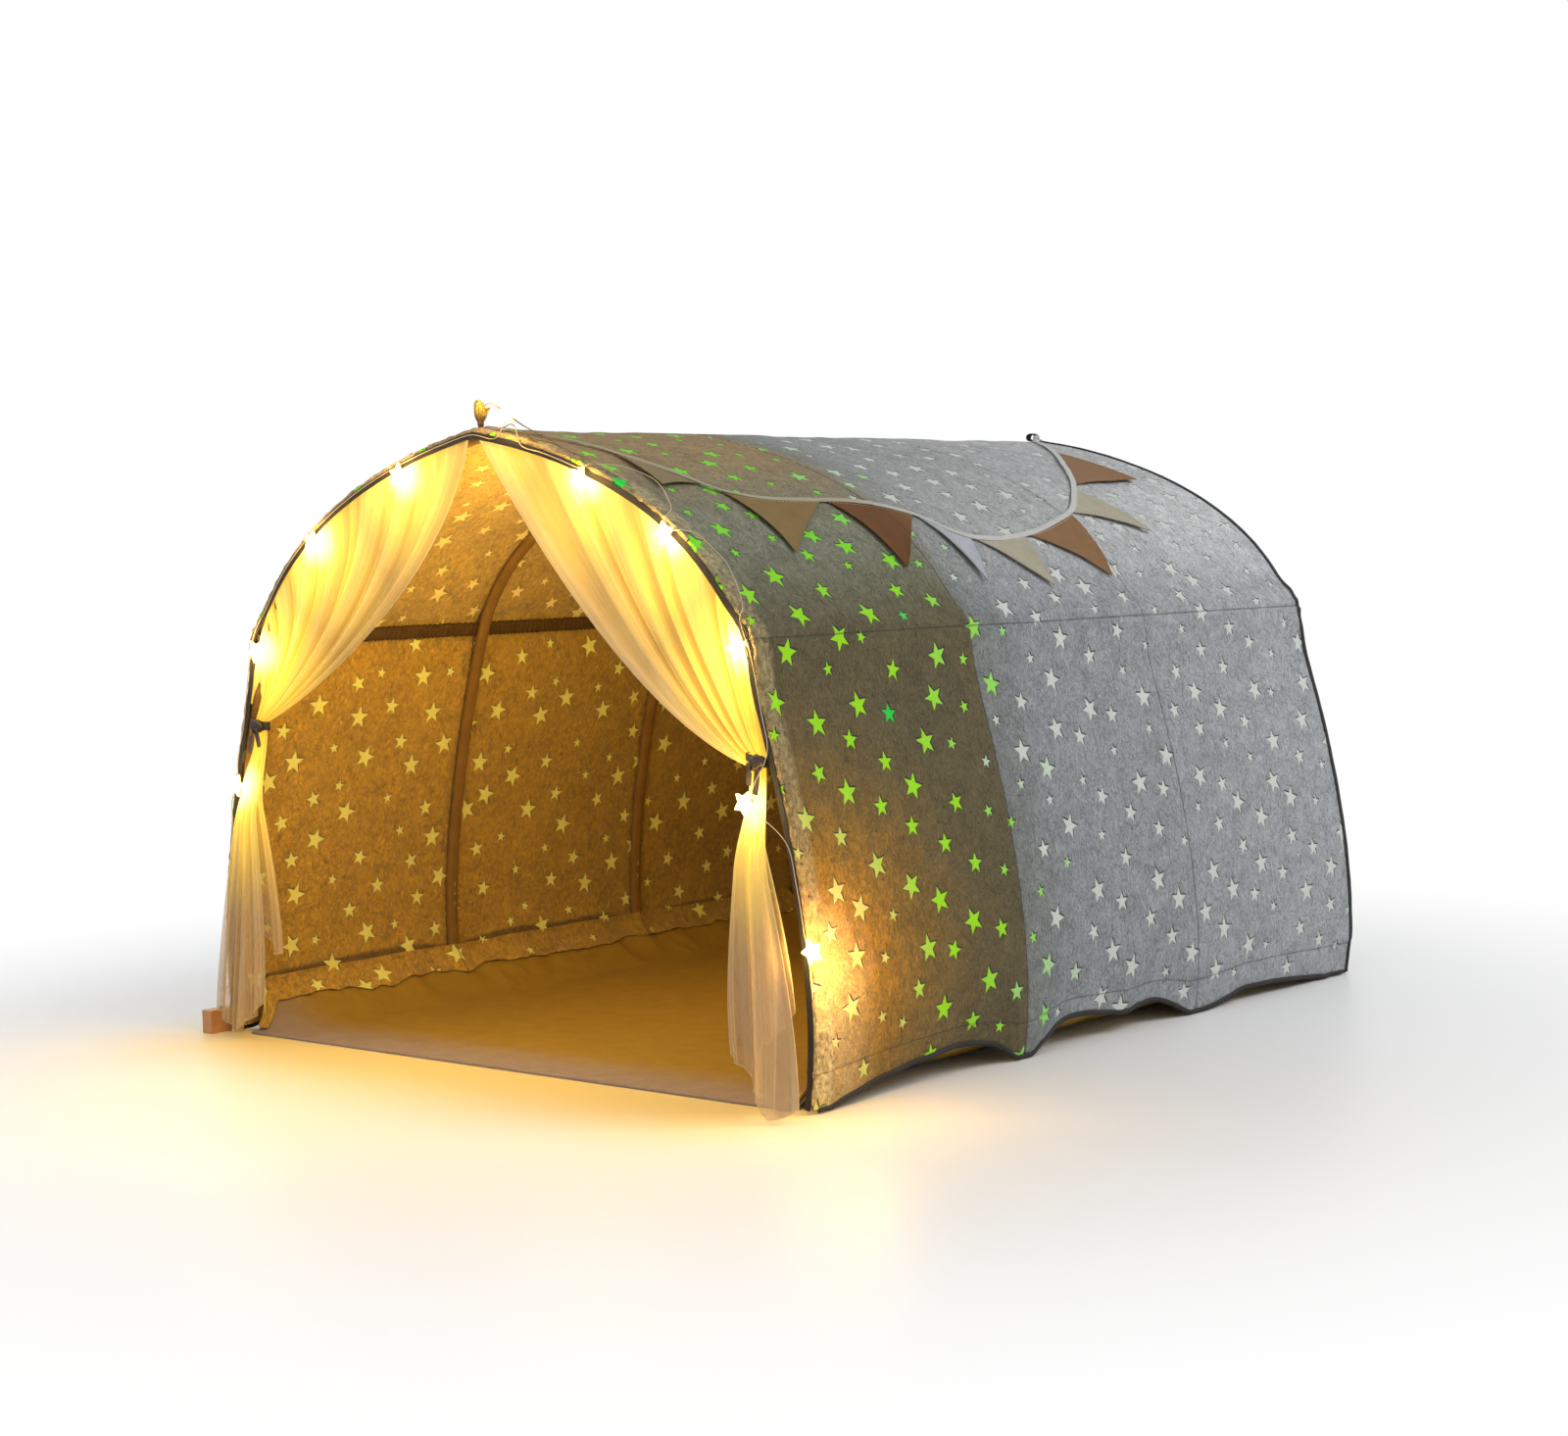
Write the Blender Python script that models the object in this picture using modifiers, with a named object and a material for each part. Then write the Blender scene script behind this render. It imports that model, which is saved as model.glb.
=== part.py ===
"""Bunk bed tent: a fleece tunnel on four hoops, with two curtains, bunting and a star light string.

Metres, +Z up. X runs across the tent and the open mouth faces -Y. The origin lies under the middle
of the floor sheet, on the surface that the tent stands on.
"""

import math

import bmesh
import bpy
import numpy as np

# Outline of the tent, on the outside of the cloth
TENT_LENGTH = 1.135
FOOT_HALF_WIDTH = 0.490
EAVE_HALF_WIDTH = 0.4136
EAVE_HEIGHT = 0.506
RIDGE_HEIGHT = 0.751
FOOT_LEAN = math.radians(78.6)
EAVE_LEAN = math.radians(70.5)
RIDGE_PITCH = math.radians(9.8)
# How far the outline keeps each of those directions before it bends away
FOOT_REACH = 0.137
WALL_TOP_REACH = 0.176
ROOF_FOOT_REACH = 0.124
RIDGE_REACH = 0.219

# Cloth and seams
CLOTH = 0.003
CLEARANCE = 0.0003
CANOPY_SAG = 0.004
HEM_HEIGHT = 0.009
# How far the hem is drawn up at these shares of each bay, and the part of it that turns inward
HEM_SHARES = [0.1, 0.25, 0.5, 0.75, 0.9]
HEM_RISES = [
    [0.014, 0.022, 0.033, 0.034, 0.025],
    [0.017, 0.033, 0.034, 0.031, 0.012],
    [0.008, 0.022, 0.023, 0.016, 0.006],
]
HEM_TUCK = 0.35
SKIRT_DEPTH = 0.065
SKIRT_BEND = 0.014
FLOOR_THICKNESS = 0.003
FLOOR_MARGIN = 0.020
FLOOR_SETBACK = 0.002
REAR_DIP = 0.006
REAR_DIP_MARGIN = 0.2
REAR_COLUMNS = 8

# Hoops: two rods and a ridge elbow each, in a flat sleeve
HOOPS = 4
ROD_RADIUS = 0.0045
ELBOW_ARM = 0.030
SLEEVE_HALF_WIDTH = 0.011
SLEEVE_HALF_DEPTH = 0.0065
HOOP_EDGE = 0.002
ROD_FOOT_HEIGHT = 0.014
SLEEVE_FOOT_HEIGHT = 0.015
RING_SIDES = 8

# Eave poles, between the hoops and the cloth
EAVE_POLE_RADIUS = 0.0035
EAVE_SLEEVE_HALF_HEIGHT = 0.010
EAVE_SLEEVE_HALF_DEPTH = 0.005
EAVE_END_GAP = 0.001
EAVE_EASE = 0.0015

# Bindings
BINDING_THICKNESS = 0.0015
BINDING_FACE = 0.012
BINDING_LAP = 0.008
HEM_BINDING_DROP = 0.006
HEM_BINDING_LAP = 0.005
HEM_BINDING_GAP = 0.0009

# Curtains, gathered by a tie at each leg
CURTAIN_THICKNESS = 0.0008
CURTAIN_FOLDS = 6
FOLD_STEPS = 4
CURTAIN_TOP_AT = 0.85
CURTAIN_DROP_GAP = 0.0015
CURTAIN_DROP_ROWS = 9
BUNCH_HALF_WIDTH = 0.012
BUNCH_HALF_DEPTH = 0.004
BUNCH_INSET = 0.004
TIE_HALF_HEIGHT = 0.006
TIE_BORE_MARGIN = 0.0015
TIE_THICKNESS = 0.0015
CURTAIN_FOOT_INSET = 0.028
CURTAIN_FOOT_HALF_WIDTH = 0.036
CURTAIN_FOOT_FORWARD = 0.020
CURTAIN_FOOT_HEIGHT = 0.0025
CURTAINS = {
    "left": {"side": -1, "tie": 0.398, "ridge_at": 1.95, "near": (-0.053, -0.020), "far": (-0.137, -0.063)},
    "right": {"side": 1, "tie": 0.374, "ridge_at": 1.98, "near": (-0.077, 0.016), "far": (-0.053, -0.059)},
}

# Ridge ribbon at the front, webbing loop at the rear
RIBBON_HEIGHT = 0.034
RIBBON_WIDTH = 0.010
RIBBON_DEPTH = 0.006
RIBBON_SETBACK = 0.010
LOOP_WIDTH = 0.016
LOOP_HEIGHT = 0.011
LOOP_STRAP = 0.0015
LOOP_HALF_LENGTH = 0.006
LOOP_SETBACK = 0.022

# Bunting. A knot of the tape is (y, place on the roof), with 1 at the eave and 2 at the ridge.
TAPE_WIDTH = 0.008
TAPE_THICKNESS = 0.001
TAPE_STEP = 0.016
PENNANT_THICKNESS = 0.001
PENNANT_LIFT = 0.0008
PENNANT_ROWS = 5
TAPE_KNOTS = [
    (-0.547, 2.000), (-0.520, 1.930), (-0.478, 1.800), (-0.452, 1.680), (-0.428, 1.575), (-0.375, 1.525),
    (-0.263, 1.498), (-0.191, 1.470), (-0.128, 1.425), (-0.085, 1.345), (-0.030, 1.318), (0.057, 1.335),
    (0.130, 1.372), (0.200, 1.425), (0.258, 1.505), (0.320, 1.600), (0.400, 1.740), (0.463, 1.851),
    (0.535, 1.985),
]
# Colour, first and last place along the tape as knot numbers, and the tip as (y, place on the roof)
PENNANTS = [
    ("felt_white", 2.15, 3.85, (-0.512, 1.560)),
    ("felt_beige", 4.35, 5.95, (-0.410, 1.277)),
    ("felt_brown", 6.05, 7.95, (-0.236, 1.205)),
    ("felt_white", 8.05, 9.45, (-0.104, 1.140)),
    ("felt_beige", 9.55, 10.95, (0.030, 1.120)),
    ("felt_brown", 11.05, 12.95, (0.165, 1.145)),
    ("felt_beige", 13.05, 14.65, (0.338, 1.325)),
    ("felt_brown", 14.90, 16.90, (0.478, 1.608)),
]

# Star light string: (side, place on the arch, lift from the cloth, distance behind the front edge)
STAR_RADIUS = 0.0145
STAR_WAIST = 0.0075
STAR_THICKNESS = 0.006
STAR_EDGE = 0.0008
WIRE_RADIUS = 0.0007
WIRE_STEP = 0.040
STARS = [
    (-1, 0.665, -0.029, -0.0215),
    (-1, 0.980, -0.020, -0.0071),
    (-1, 1.435, -0.017, -0.0071),
    (-1, 1.785, -0.018, -0.0071),
    (1, 1.900, 0.032, -0.0071),
    (1, 1.685, -0.015, -0.0071),
    (1, 1.395, -0.012, -0.0071),
    (1, 0.985, -0.020, -0.0071),
    (1, 0.685, -0.040, -0.0215),
    (1, 0.375, 0.008, -0.0071),
]
WIRE_FRONT = -0.0029
WIRE_OVER = -0.0033
WIRE_OUTSIDE = 0.0032
WIRE_KNOTS = [
    (-1, 0.105, 0.0105, 0.0110), (-1, 0.125, 0.0050, -0.0034), (-1, 0.145, -0.0050, WIRE_FRONT),
    (-1, 0.560, -0.0060, WIRE_FRONT), (-1, 0.610, -0.0110, -0.0115), (-1, 0.640, -0.0200, -0.0172),
    (-1, 0.665, -0.0260, -0.0172), (-1, 0.700, -0.0200, -0.0160), (-1, 0.740, -0.0110, -0.0095),
    (-1, 0.790, -0.0060, WIRE_FRONT), (-1, 1.990, -0.0060, WIRE_FRONT), (1, 1.935, -0.0060, WIRE_FRONT),
    (1, 1.918, 0.0100, WIRE_OVER), (1, 1.900, 0.0250, WIRE_OVER), (1, 1.882, 0.0100, WIRE_OVER),
    (1, 1.865, -0.0060, WIRE_FRONT), (1, 1.700, -0.0060, WIRE_FRONT), (1, 1.685, -0.0020, WIRE_OVER),
    (1, 1.680, 0.0034, WIRE_OVER), (1, 1.675, 0.0036, 0.0040), (1, 1.660, WIRE_OUTSIDE, 0.0400),
    (1, 1.600, WIRE_OUTSIDE, 0.0560), (1, 1.538, WIRE_OUTSIDE, 0.0455), (1, 1.450, WIRE_OUTSIDE, 0.0180),
    (1, 1.430, 0.0036, 0.0040), (1, 1.424, 0.0034, WIRE_OVER), (1, 1.418, -0.0020, WIRE_OVER),
    (1, 1.395, -0.0060, WIRE_FRONT), (1, 1.375, -0.0020, WIRE_OVER), (1, 1.368, 0.0034, WIRE_OVER),
    (1, 1.360, 0.0036, 0.0040), (1, 1.345, WIRE_OUTSIDE, 0.0165), (1, 1.238, WIRE_OUTSIDE, 0.0245),
    (1, 1.145, WIRE_OUTSIDE, 0.0165), (1, 1.080, 0.0036, 0.0040), (1, 1.070, 0.0036, -0.0034),
    (1, 1.060, -0.0020, WIRE_OVER), (1, 1.030, -0.0060, WIRE_FRONT), (1, 0.780, -0.0060, WIRE_FRONT),
    (1, 0.745, -0.0140, -0.0095), (1, 0.715, -0.0260, -0.0165), (1, 0.685, -0.0330, -0.0172),
    (1, 0.655, -0.0260, -0.0170), (1, 0.620, -0.0120, -0.0110), (1, 0.580, -0.0060, WIRE_FRONT),
    (1, 0.400, -0.0030, WIRE_FRONT), (1, 0.375, 0.0010, WIRE_FRONT),
]

# Battery box beside the left foot. Length along Y, depth along X.
BOX_LENGTH = 0.054
BOX_DEPTH = 0.018
BOX_HEIGHT = 0.030
BOX_WALL = 0.0015
BOX_EDGE = 0.0008
BOX_GAP = 0.0015
BOX_FORWARD = 0.028
WIRE_EXIT = 0.007
WIRE_RISE = 0.010
COVER_THICKNESS = 0.0015
CELL_RADIUS = 0.00525
CELL_LENGTH = 0.0445
CELL_NUB = 0.0012
CELL_NUB_RADIUS = 0.0019
CELL_STEPS = 14
SWITCH_TRAVEL = 0.004
SWITCH_STEM = 0.003
SWITCH_KNOB = 0.007
SWITCH_WIDTH = 0.004
SWITCH_RISE = 0.002
SWITCH_FLANGE = 0.0012

FRONT_Y = -TENT_LENGTH / 2
REAR_Y = TENT_LENGTH / 2
CANOPY_REAR_Y = REAR_Y - CLOTH - CLEARANCE
SLEEVE_LIFT = -(CLOTH + CLEARANCE + SLEEVE_HALF_DEPTH)
SLEEVE_INNER_LIFT = SLEEVE_LIFT - SLEEVE_HALF_DEPTH
EAVE_LIFT = EAVE_SLEEVE_HALF_DEPTH - CLOTH
EAVE_BULGE = 2 * EAVE_SLEEVE_HALF_DEPTH + EAVE_EASE
FLOOR_TOP = FLOOR_THICKNESS + CLEARANCE
WALL_STATIONS = [0.0, 0.2, 0.4, 0.6, 0.8, 1.0]
ROOF_STATIONS = [1.0 + step / 8 for step in range(9)]
ARCH_STATIONS = WALL_STATIONS + ROOF_STATIONS[1:]

for leftover in list(bpy.data.objects):
    bpy.data.objects.remove(leftover, do_unlink=True)

parts = bpy.data.collections.new("bunk_bed_tent")
cutters = bpy.data.collections.new("cutters")
bpy.context.scene.collection.children.link(parts)
bpy.context.scene.collection.children.link(cutters)

COLOURS = {
    "fleece": ((0.30, 0.33, 0.38), 0.95, 0.0),
    "sleeve_cloth": ((0.30, 0.19, 0.10), 0.9, 0.0),
    "binding": ((0.012, 0.012, 0.016), 0.8, 0.0),
    "floor_cloth": ((0.36, 0.29, 0.30), 0.85, 0.0),
    "tulle": ((0.80, 0.62, 0.46), 0.7, 0.0),
    "ribbon": ((0.02, 0.015, 0.012), 0.6, 0.0),
    "gold_ribbon": ((0.72, 0.45, 0.16), 0.5, 0.0),
    "tape": ((0.80, 0.78, 0.74), 0.8, 0.0),
    "felt_white": ((0.72, 0.72, 0.74), 0.95, 0.0),
    "felt_beige": ((0.62, 0.52, 0.40), 0.95, 0.0),
    "felt_brown": ((0.30, 0.16, 0.08), 0.95, 0.0),
    "pole": ((0.75, 0.75, 0.72), 0.4, 0.0),
    "pole_elbow": ((0.05, 0.05, 0.05), 0.5, 0.0),
    "star_lamp": ((1.0, 0.88, 0.55), 0.3, 0.0),
    "wire": ((0.75, 0.68, 0.50), 0.3, 0.6),
    "box_plastic": ((0.55, 0.30, 0.16), 0.45, 0.0),
    "switch_plastic": ((0.06, 0.05, 0.05), 0.5, 0.0),
    "battery": ((0.45, 0.45, 0.47), 0.35, 0.7),
}


def principled(name):
    """The material of that name, made once with its colour, roughness and metallic value."""
    if name in bpy.data.materials:
        return bpy.data.materials[name]
    colour, roughness, metallic = COLOURS[name]
    material = bpy.data.materials.new(name)
    material.use_nodes = True
    shader = material.node_tree.nodes["Principled BSDF"]
    shader.inputs["Base Color"].default_value = (*colour, 1.0)
    shader.inputs["Roughness"].default_value = roughness
    shader.inputs["Metallic"].default_value = metallic
    return material


def add(name, data, material):
    """An object in the tent's collection with one material."""
    data.materials.append(principled(material))
    thing = bpy.data.objects.new(name, data)
    parts.objects.link(thing)
    return thing


def bezier(corners, t):
    a, b, c, d = corners
    s = 1 - t
    return s**3 * a + 3 * s * s * t * b + 3 * s * t * t * c + t**3 * d


def bezier_slope(corners, t):
    a, b, c, d = corners
    s = 1 - t
    return 3 * s * s * (b - a) + 6 * s * t * (c - b) + 3 * t * t * (d - c)


def along(angle):
    return np.array([math.cos(angle), math.sin(angle)])


FOOT = np.array([FOOT_HALF_WIDTH, 0.0])
EAVE = np.array([EAVE_HALF_WIDTH, EAVE_HEIGHT])
RIDGE = np.array([0.0, RIDGE_HEIGHT])
UP_EAVE = along(math.pi - EAVE_LEAN)
WALL_CURVE = [FOOT, FOOT + FOOT_REACH * along(FOOT_LEAN), EAVE - WALL_TOP_REACH * UP_EAVE, EAVE]
ROOF_CURVE = [EAVE, EAVE + ROOF_FOOT_REACH * UP_EAVE, RIDGE + RIDGE_REACH * along(-RIDGE_PITCH), RIDGE]


def arch(u):
    """Right half of the outline: the point, the outward normal and the upward direction, as (x, z).

    u runs from 0 at the foot, through 1 at the eave, to 2 at the ridge.
    """
    curve, t = (WALL_CURVE, u) if u <= 1 else (ROOF_CURVE, u - 1)
    slope = bezier_slope(curve, t)
    slope = slope / np.linalg.norm(slope)
    normal = np.array([slope[1], -slope[0]])
    if u >= 2:
        normal = np.array([0.0, 1 / math.cos(RIDGE_PITCH)])
    return bezier(curve, t), normal, slope


def arch_at_height(height):
    """The place u at which the wall's outline has this height."""
    low, high = 0.0, 1.0
    for _ in range(40):
        middle = (low + high) / 2
        if arch(middle)[0][1] < height:
            low = middle
        else:
            high = middle
    return low


def bulge(u):
    """The share of the eave bulge at u: full at the eave, none at the stations beside it."""
    below, above = WALL_STATIONS[-2], ROOF_STATIONS[1]
    return float(np.interp(u, [below, 1.0, above], [0.0, 1.0, 0.0]))


HOOP_FLAT = SLEEVE_HALF_WIDTH + HOOP_EDGE
HOOP_Y = [float(y) for y in np.linspace(FRONT_Y + HOOP_FLAT, CANOPY_REAR_Y - HOOP_FLAT, HOOPS)]


def bay_rows():
    """Stations along Y as (y, share of the sag, rise of the hem)."""
    rows = []
    for number, hoop in enumerate(HOOP_Y):
        rows += [(hoop - HOOP_FLAT, 0.0, 0.0), (hoop + HOOP_FLAT, 0.0, 0.0)]
        if number < HOOPS - 1:
            start, end = hoop + HOOP_FLAT, HOOP_Y[number + 1] - HOOP_FLAT
            for share, rise in zip(HEM_SHARES, HEM_RISES[number % len(HEM_RISES)]):
                rows.append((start + share * (end - start), math.sin(math.pi * share) ** 2, rise))
    return rows


ROWS = bay_rows()
ROW_Y = [row[0] for row in ROWS]


def sag(u, y):
    depth = float(np.interp(y, ROW_Y, [row[1] for row in ROWS]))
    return CANOPY_SAG * depth * abs(math.sin(math.pi * u))


def canopy(side, u, y, lift=0.0, shift=0.0):
    """A point on the canopy's outside, or lift above it, with shift up the slope."""
    point, normal, slope = arch(u)
    lift = lift + EAVE_BULGE * bulge(u) - sag(u, y)
    x, z = point + lift * normal + shift * slope
    return (side * float(x), y, float(z))


def slab(name, outer, inner, material, wrap=False):
    """A closed sheet between two grids of points. With wrap, the columns run round a ring."""
    rows, columns = len(outer), len(outer[0])
    mesh = bmesh.new()
    skins = [[[mesh.verts.new(p) for p in row] for row in grid] for grid in (outer, inner)]
    spans = range(columns if wrap else columns - 1)
    for skin, turned in zip(skins, (False, True)):
        for r in range(rows - 1):
            for c in spans:
                after = (c + 1) % columns
                face = [skin[r][c], skin[r][after], skin[r + 1][after], skin[r + 1][c]]
                mesh.faces.new(reversed(face) if turned else face)
    top, bottom = skins
    for r in (0, rows - 1):
        for c in spans:
            after = (c + 1) % columns
            mesh.faces.new([top[r][c], bottom[r][c], bottom[r][after], top[r][after]])
    if not wrap:
        for c in (0, columns - 1):
            for r in range(rows - 1):
                mesh.faces.new([top[r][c], top[r + 1][c], bottom[r + 1][c], bottom[r][c]])
    return finish_mesh(name, mesh, material)


def loft(name, loops, material):
    """A solid through closed outlines of equal length, with both ends capped."""
    mesh = bmesh.new()
    rings = [[mesh.verts.new(p) for p in loop] for loop in loops]
    count = len(rings[0])
    for ring, following in zip(rings, rings[1:]):
        for c in range(count):
            after = (c + 1) % count
            mesh.faces.new([ring[c], ring[after], following[after], following[c]])
    mesh.faces.new(list(reversed(rings[0])))
    mesh.faces.new(rings[-1])
    return finish_mesh(name, mesh, material)


def finish_mesh(name, mesh, material):
    bmesh.ops.remove_doubles(mesh, verts=mesh.verts, dist=0.000001)
    bmesh.ops.recalc_face_normals(mesh, faces=mesh.faces)
    data = bpy.data.meshes.new(name)
    mesh.to_mesh(data)
    mesh.free()
    data.shade_smooth()
    data.set_sharp_from_angle(angle=math.radians(35))
    return add(name, data, material)


def rod(name, points, radius, material, resolution=2):
    """A round rod or wire through the points, with filled ends."""
    curve = bpy.data.curves.new(name, "CURVE")
    curve.dimensions = "3D"
    curve.bevel_depth = radius
    curve.bevel_resolution = resolution
    curve.use_fill_caps = True
    spline = curve.splines.new("POLY")
    spline.points.add(len(points) - 1)
    for slot, point in zip(spline.points, points):
        slot.co = (*point, 1.0)
    return add(name, curve, material)


def box(name, low, high, material, edge=0.0):
    """A block between two corners, with its edges rounded."""
    mesh = bmesh.new()
    bmesh.ops.create_cube(mesh, size=1.0)
    for vert in mesh.verts:
        vert.co = [low[i] + (vert.co[i] + 0.5) * (high[i] - low[i]) for i in range(3)]
    data = bpy.data.meshes.new(name)
    mesh.to_mesh(data)
    mesh.free()
    block = add(name, data, material)
    if edge:
        rounding = block.modifiers.new("rounded edges", "BEVEL")
        rounding.width = edge
        rounding.segments = 2
    return block


def cut(target, low, high, name):
    """Takes a block out of the target with a hidden cutter."""
    cutter = box(name, low, high, "switch_plastic")
    parts.objects.unlink(cutter)
    cutters.objects.link(cutter)
    cutter.hide_render = True
    cutter.display_type = "WIRE"
    opening = target.modifiers.new(name, "BOOLEAN")
    opening.operation = "DIFFERENCE"
    opening.object = cutter


def clipped_path(lift, foot_height):
    """The arch from the left foot to the right one at this lift, as (side, u), cut at a height."""
    low, high = 0.0, 1.0
    for _ in range(40):
        middle = (low + high) / 2
        point, normal, _ = arch(middle)
        if (point + lift * normal)[1] < foot_height:
            low = middle
        else:
            high = middle
    kept = [u for u in ARCH_STATIONS if u > low + 0.01]
    half = [low] + kept
    return [(-1, u) for u in half] + [(1, u) for u in reversed(half[:-1])]


def hoop_point(side, u, y, lift):
    point, normal, _ = arch(u)
    x, z = point + lift * normal
    return (side * float(x), y, float(z))


def ring(half_width, half_depth):
    """Corners of a ring section as (across the tube, out of it)."""
    turns = [2 * math.pi * (step + 0.5) / RING_SIDES for step in range(RING_SIDES)]
    return [(half_width * math.sin(turn), half_depth * math.cos(turn)) for turn in turns]


def bore_radius(radius):
    """Radius of a ring section's corners whose flats clear a round rod."""
    return radius / math.cos(math.pi / RING_SIDES) + CLEARANCE


def hoop(number, y):
    """Two bent rods that meet a ridge elbow, and the flat sleeve round them."""
    path = clipped_path(SLEEVE_LIFT, ROD_FOOT_HEIGHT)
    line = [np.array(hoop_point(side, u, y, SLEEVE_LIFT)) for side, u in path]
    middle = len(line) // 2
    apex = line[middle]
    towards = {}
    for side, neighbour in (("left", line[middle - 1]), ("right", line[middle + 1])):
        towards[side] = (neighbour - apex) / np.linalg.norm(neighbour - apex)
    arms = {side: apex + ELBOW_ARM * towards[side] for side in towards}
    ends = {side: apex + (ELBOW_ARM + CLEARANCE) * towards[side] for side in towards}
    rod(f"hoop_{number}_rod_left", line[:middle] + [ends["left"]], ROD_RADIUS, "pole")
    rod(f"hoop_{number}_rod_right", line[middle + 1:][::-1] + [ends["right"]], ROD_RADIUS, "pole")
    rod(f"hoop_{number}_ridge_elbow", [arms["left"], apex, arms["right"]], ROD_RADIUS, "pole_elbow")

    def section(half_width, half_depth):
        rows = []
        for side, u in clipped_path(SLEEVE_LIFT, SLEEVE_FOOT_HEIGHT):
            rows.append([hoop_point(side, u, y + across, SLEEVE_LIFT + out)
                         for across, out in ring(half_width, half_depth)])
        return rows

    bore = bore_radius(ROD_RADIUS)
    outer, inner = section(SLEEVE_HALF_WIDTH, SLEEVE_HALF_DEPTH), section(bore, bore)
    slab(f"hoop_{number}_sleeve", outer, inner, "sleeve_cloth", wrap=True)


def eave_pole(name, side):
    """A straight pole along the eave in its sleeve, between the hoops and the cloth."""
    point, normal, slope = arch(1.0)
    centre = point + EAVE_LIFT * normal
    start, end = FRONT_Y + EAVE_END_GAP, CANOPY_REAR_Y - EAVE_END_GAP
    x, z = side * centre[0], centre[1]
    rod(f"eave_pole_{name}", [(x, start, z), (x, end, z)], EAVE_POLE_RADIUS, "pole")

    def section(half_height, half_depth):
        rows = []
        for y in (start, end):
            row = [centre + up * slope + out * normal for up, out in ring(half_height, half_depth)]
            rows.append([(side * float(p[0]), y, float(p[1])) for p in row])
        return rows

    bore = bore_radius(EAVE_POLE_RADIUS)
    outer, inner = section(EAVE_SLEEVE_HALF_HEIGHT, EAVE_SLEEVE_HALF_DEPTH), section(bore, bore)
    slab(f"eave_sleeve_{name}", outer, inner, "sleeve_cloth", wrap=True)


def roof_panel():
    stations = [(-1, u) for u in ROOF_STATIONS] + [(1, u) for u in reversed(ROOF_STATIONS[:-1])]

    def skin(lift):
        rows = []
        for side, u in stations:
            shift = CLEARANCE / 2 if u == 1.0 else 0.0
            rows.append([canopy(side, u, y, lift, shift) for y in ROW_Y])
        return rows

    slab("roof_panel", skin(0.0), skin(-CLOTH), "fleece")


def hem_corner(rise):
    """The wall's lowest corner as (x, z) on the right side: lifted and tucked in between hoops."""
    point = arch(arch_at_height(HEM_HEIGHT + rise))[0]
    return np.array([point[0] - HEM_TUCK * rise, point[1]])


def wall_panel(name, side):
    """A side wall from the eave to the hem, and its skirt that turns in over the floor sheet."""
    skirt_x = hem_corner(0.0)[0] - SKIRT_DEPTH
    outer, inner = [], []
    for u in reversed(WALL_STATIONS[1:]):
        shift = -CLEARANCE / 2 if u == 1.0 else 0.0
        outer.append([canopy(side, u, y, 0.0, shift) for y in ROW_Y])
        inner.append([canopy(side, u, y, -CLOTH, shift) for y in ROW_Y])
    below = {"hem": [], "bend": [], "lay": [], "edge": []}
    for y, _, rise in ROWS:
        corner = hem_corner(rise)
        bend = (corner[0] - SKIRT_BEND, FLOOR_TOP + 0.25 * (corner[1] - FLOOR_TOP))
        below["hem"].append((corner[0], corner[1], -CLOTH, CLOTH, y))
        below["bend"].append((bend[0], bend[1], 0.0, CLOTH, y))
        below["lay"].append(((bend[0] + skirt_x) / 2, FLOOR_TOP, 0.0, CLOTH, y))
        below["edge"].append((skirt_x, FLOOR_TOP, 0.0, CLOTH, y))
    for row in below.values():
        outer.append([(side * x, y, z) for x, z, _, _, y in row])
        inner.append([(side * (x + dx), y, z + dz) for x, z, dx, dz, y in row])
    slab(f"wall_panel_{name}", outer, inner, "fleece")


def rear_panel():
    """The closed end: a sheet within the canopy's outline that dips a little at its middle."""
    stations = [arch_at_height(FLOOR_TOP)] + ARCH_STATIONS[1:]

    def skin(depth):
        rows = []
        for u in stations:
            right = canopy(1, u, REAR_Y)
            row = []
            for column in range(REAR_COLUMNS + 1):
                share = 2 * column / REAR_COLUMNS - 1
                below_ridge = min(1.0, (RIDGE_HEIGHT - right[2]) / REAR_DIP_MARGIN)
                dip = 0.0 if u == stations[0] else REAR_DIP * (1 - share * share) * below_ridge**2
                row.append((share * right[0], REAR_Y - depth - dip, right[2]))
            rows.append(row)
        return rows

    slab("rear_panel", skin(0.0), skin(CLOTH), "fleece")


def floor_sheet():
    half = FOOT_HALF_WIDTH - FLOOR_MARGIN
    low = (-half, FRONT_Y + FLOOR_SETBACK, 0.0)
    high = (half, CANOPY_REAR_Y - CLOTH, FLOOR_THICKNESS)
    box("floor_sheet", low, high, "floor_cloth")


def arch_binding(name, edge_y, outward):
    """A bent tape over an end of the canopy: a flange on the end's face and a lap on the outside."""
    face, under = edge_y + outward * (CLEARANCE + BINDING_THICKNESS), edge_y + outward * CLEARANCE
    lap = edge_y - outward * BINDING_LAP
    top, gap = CLEARANCE + BINDING_THICKNESS, CLEARANCE
    corners = [(-BINDING_FACE, face), (top, face), (top, lap), (gap, lap), (gap, under),
               (-BINDING_FACE, under)]
    loops = []
    path = clipped_path(0.0, HEM_HEIGHT / 3)
    hem = arch_at_height(HEM_HEIGHT)
    for side, u in path[:1] + [(-1, hem)] + path[1:-1] + [(1, hem)] + path[-1:]:
        section = [(canopy(side, u, FRONT_Y, lift), y) for lift, y in corners]
        loops.append([(point[0], y, point[2]) for point, y in section])
    loft(name, loops, "binding")


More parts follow.
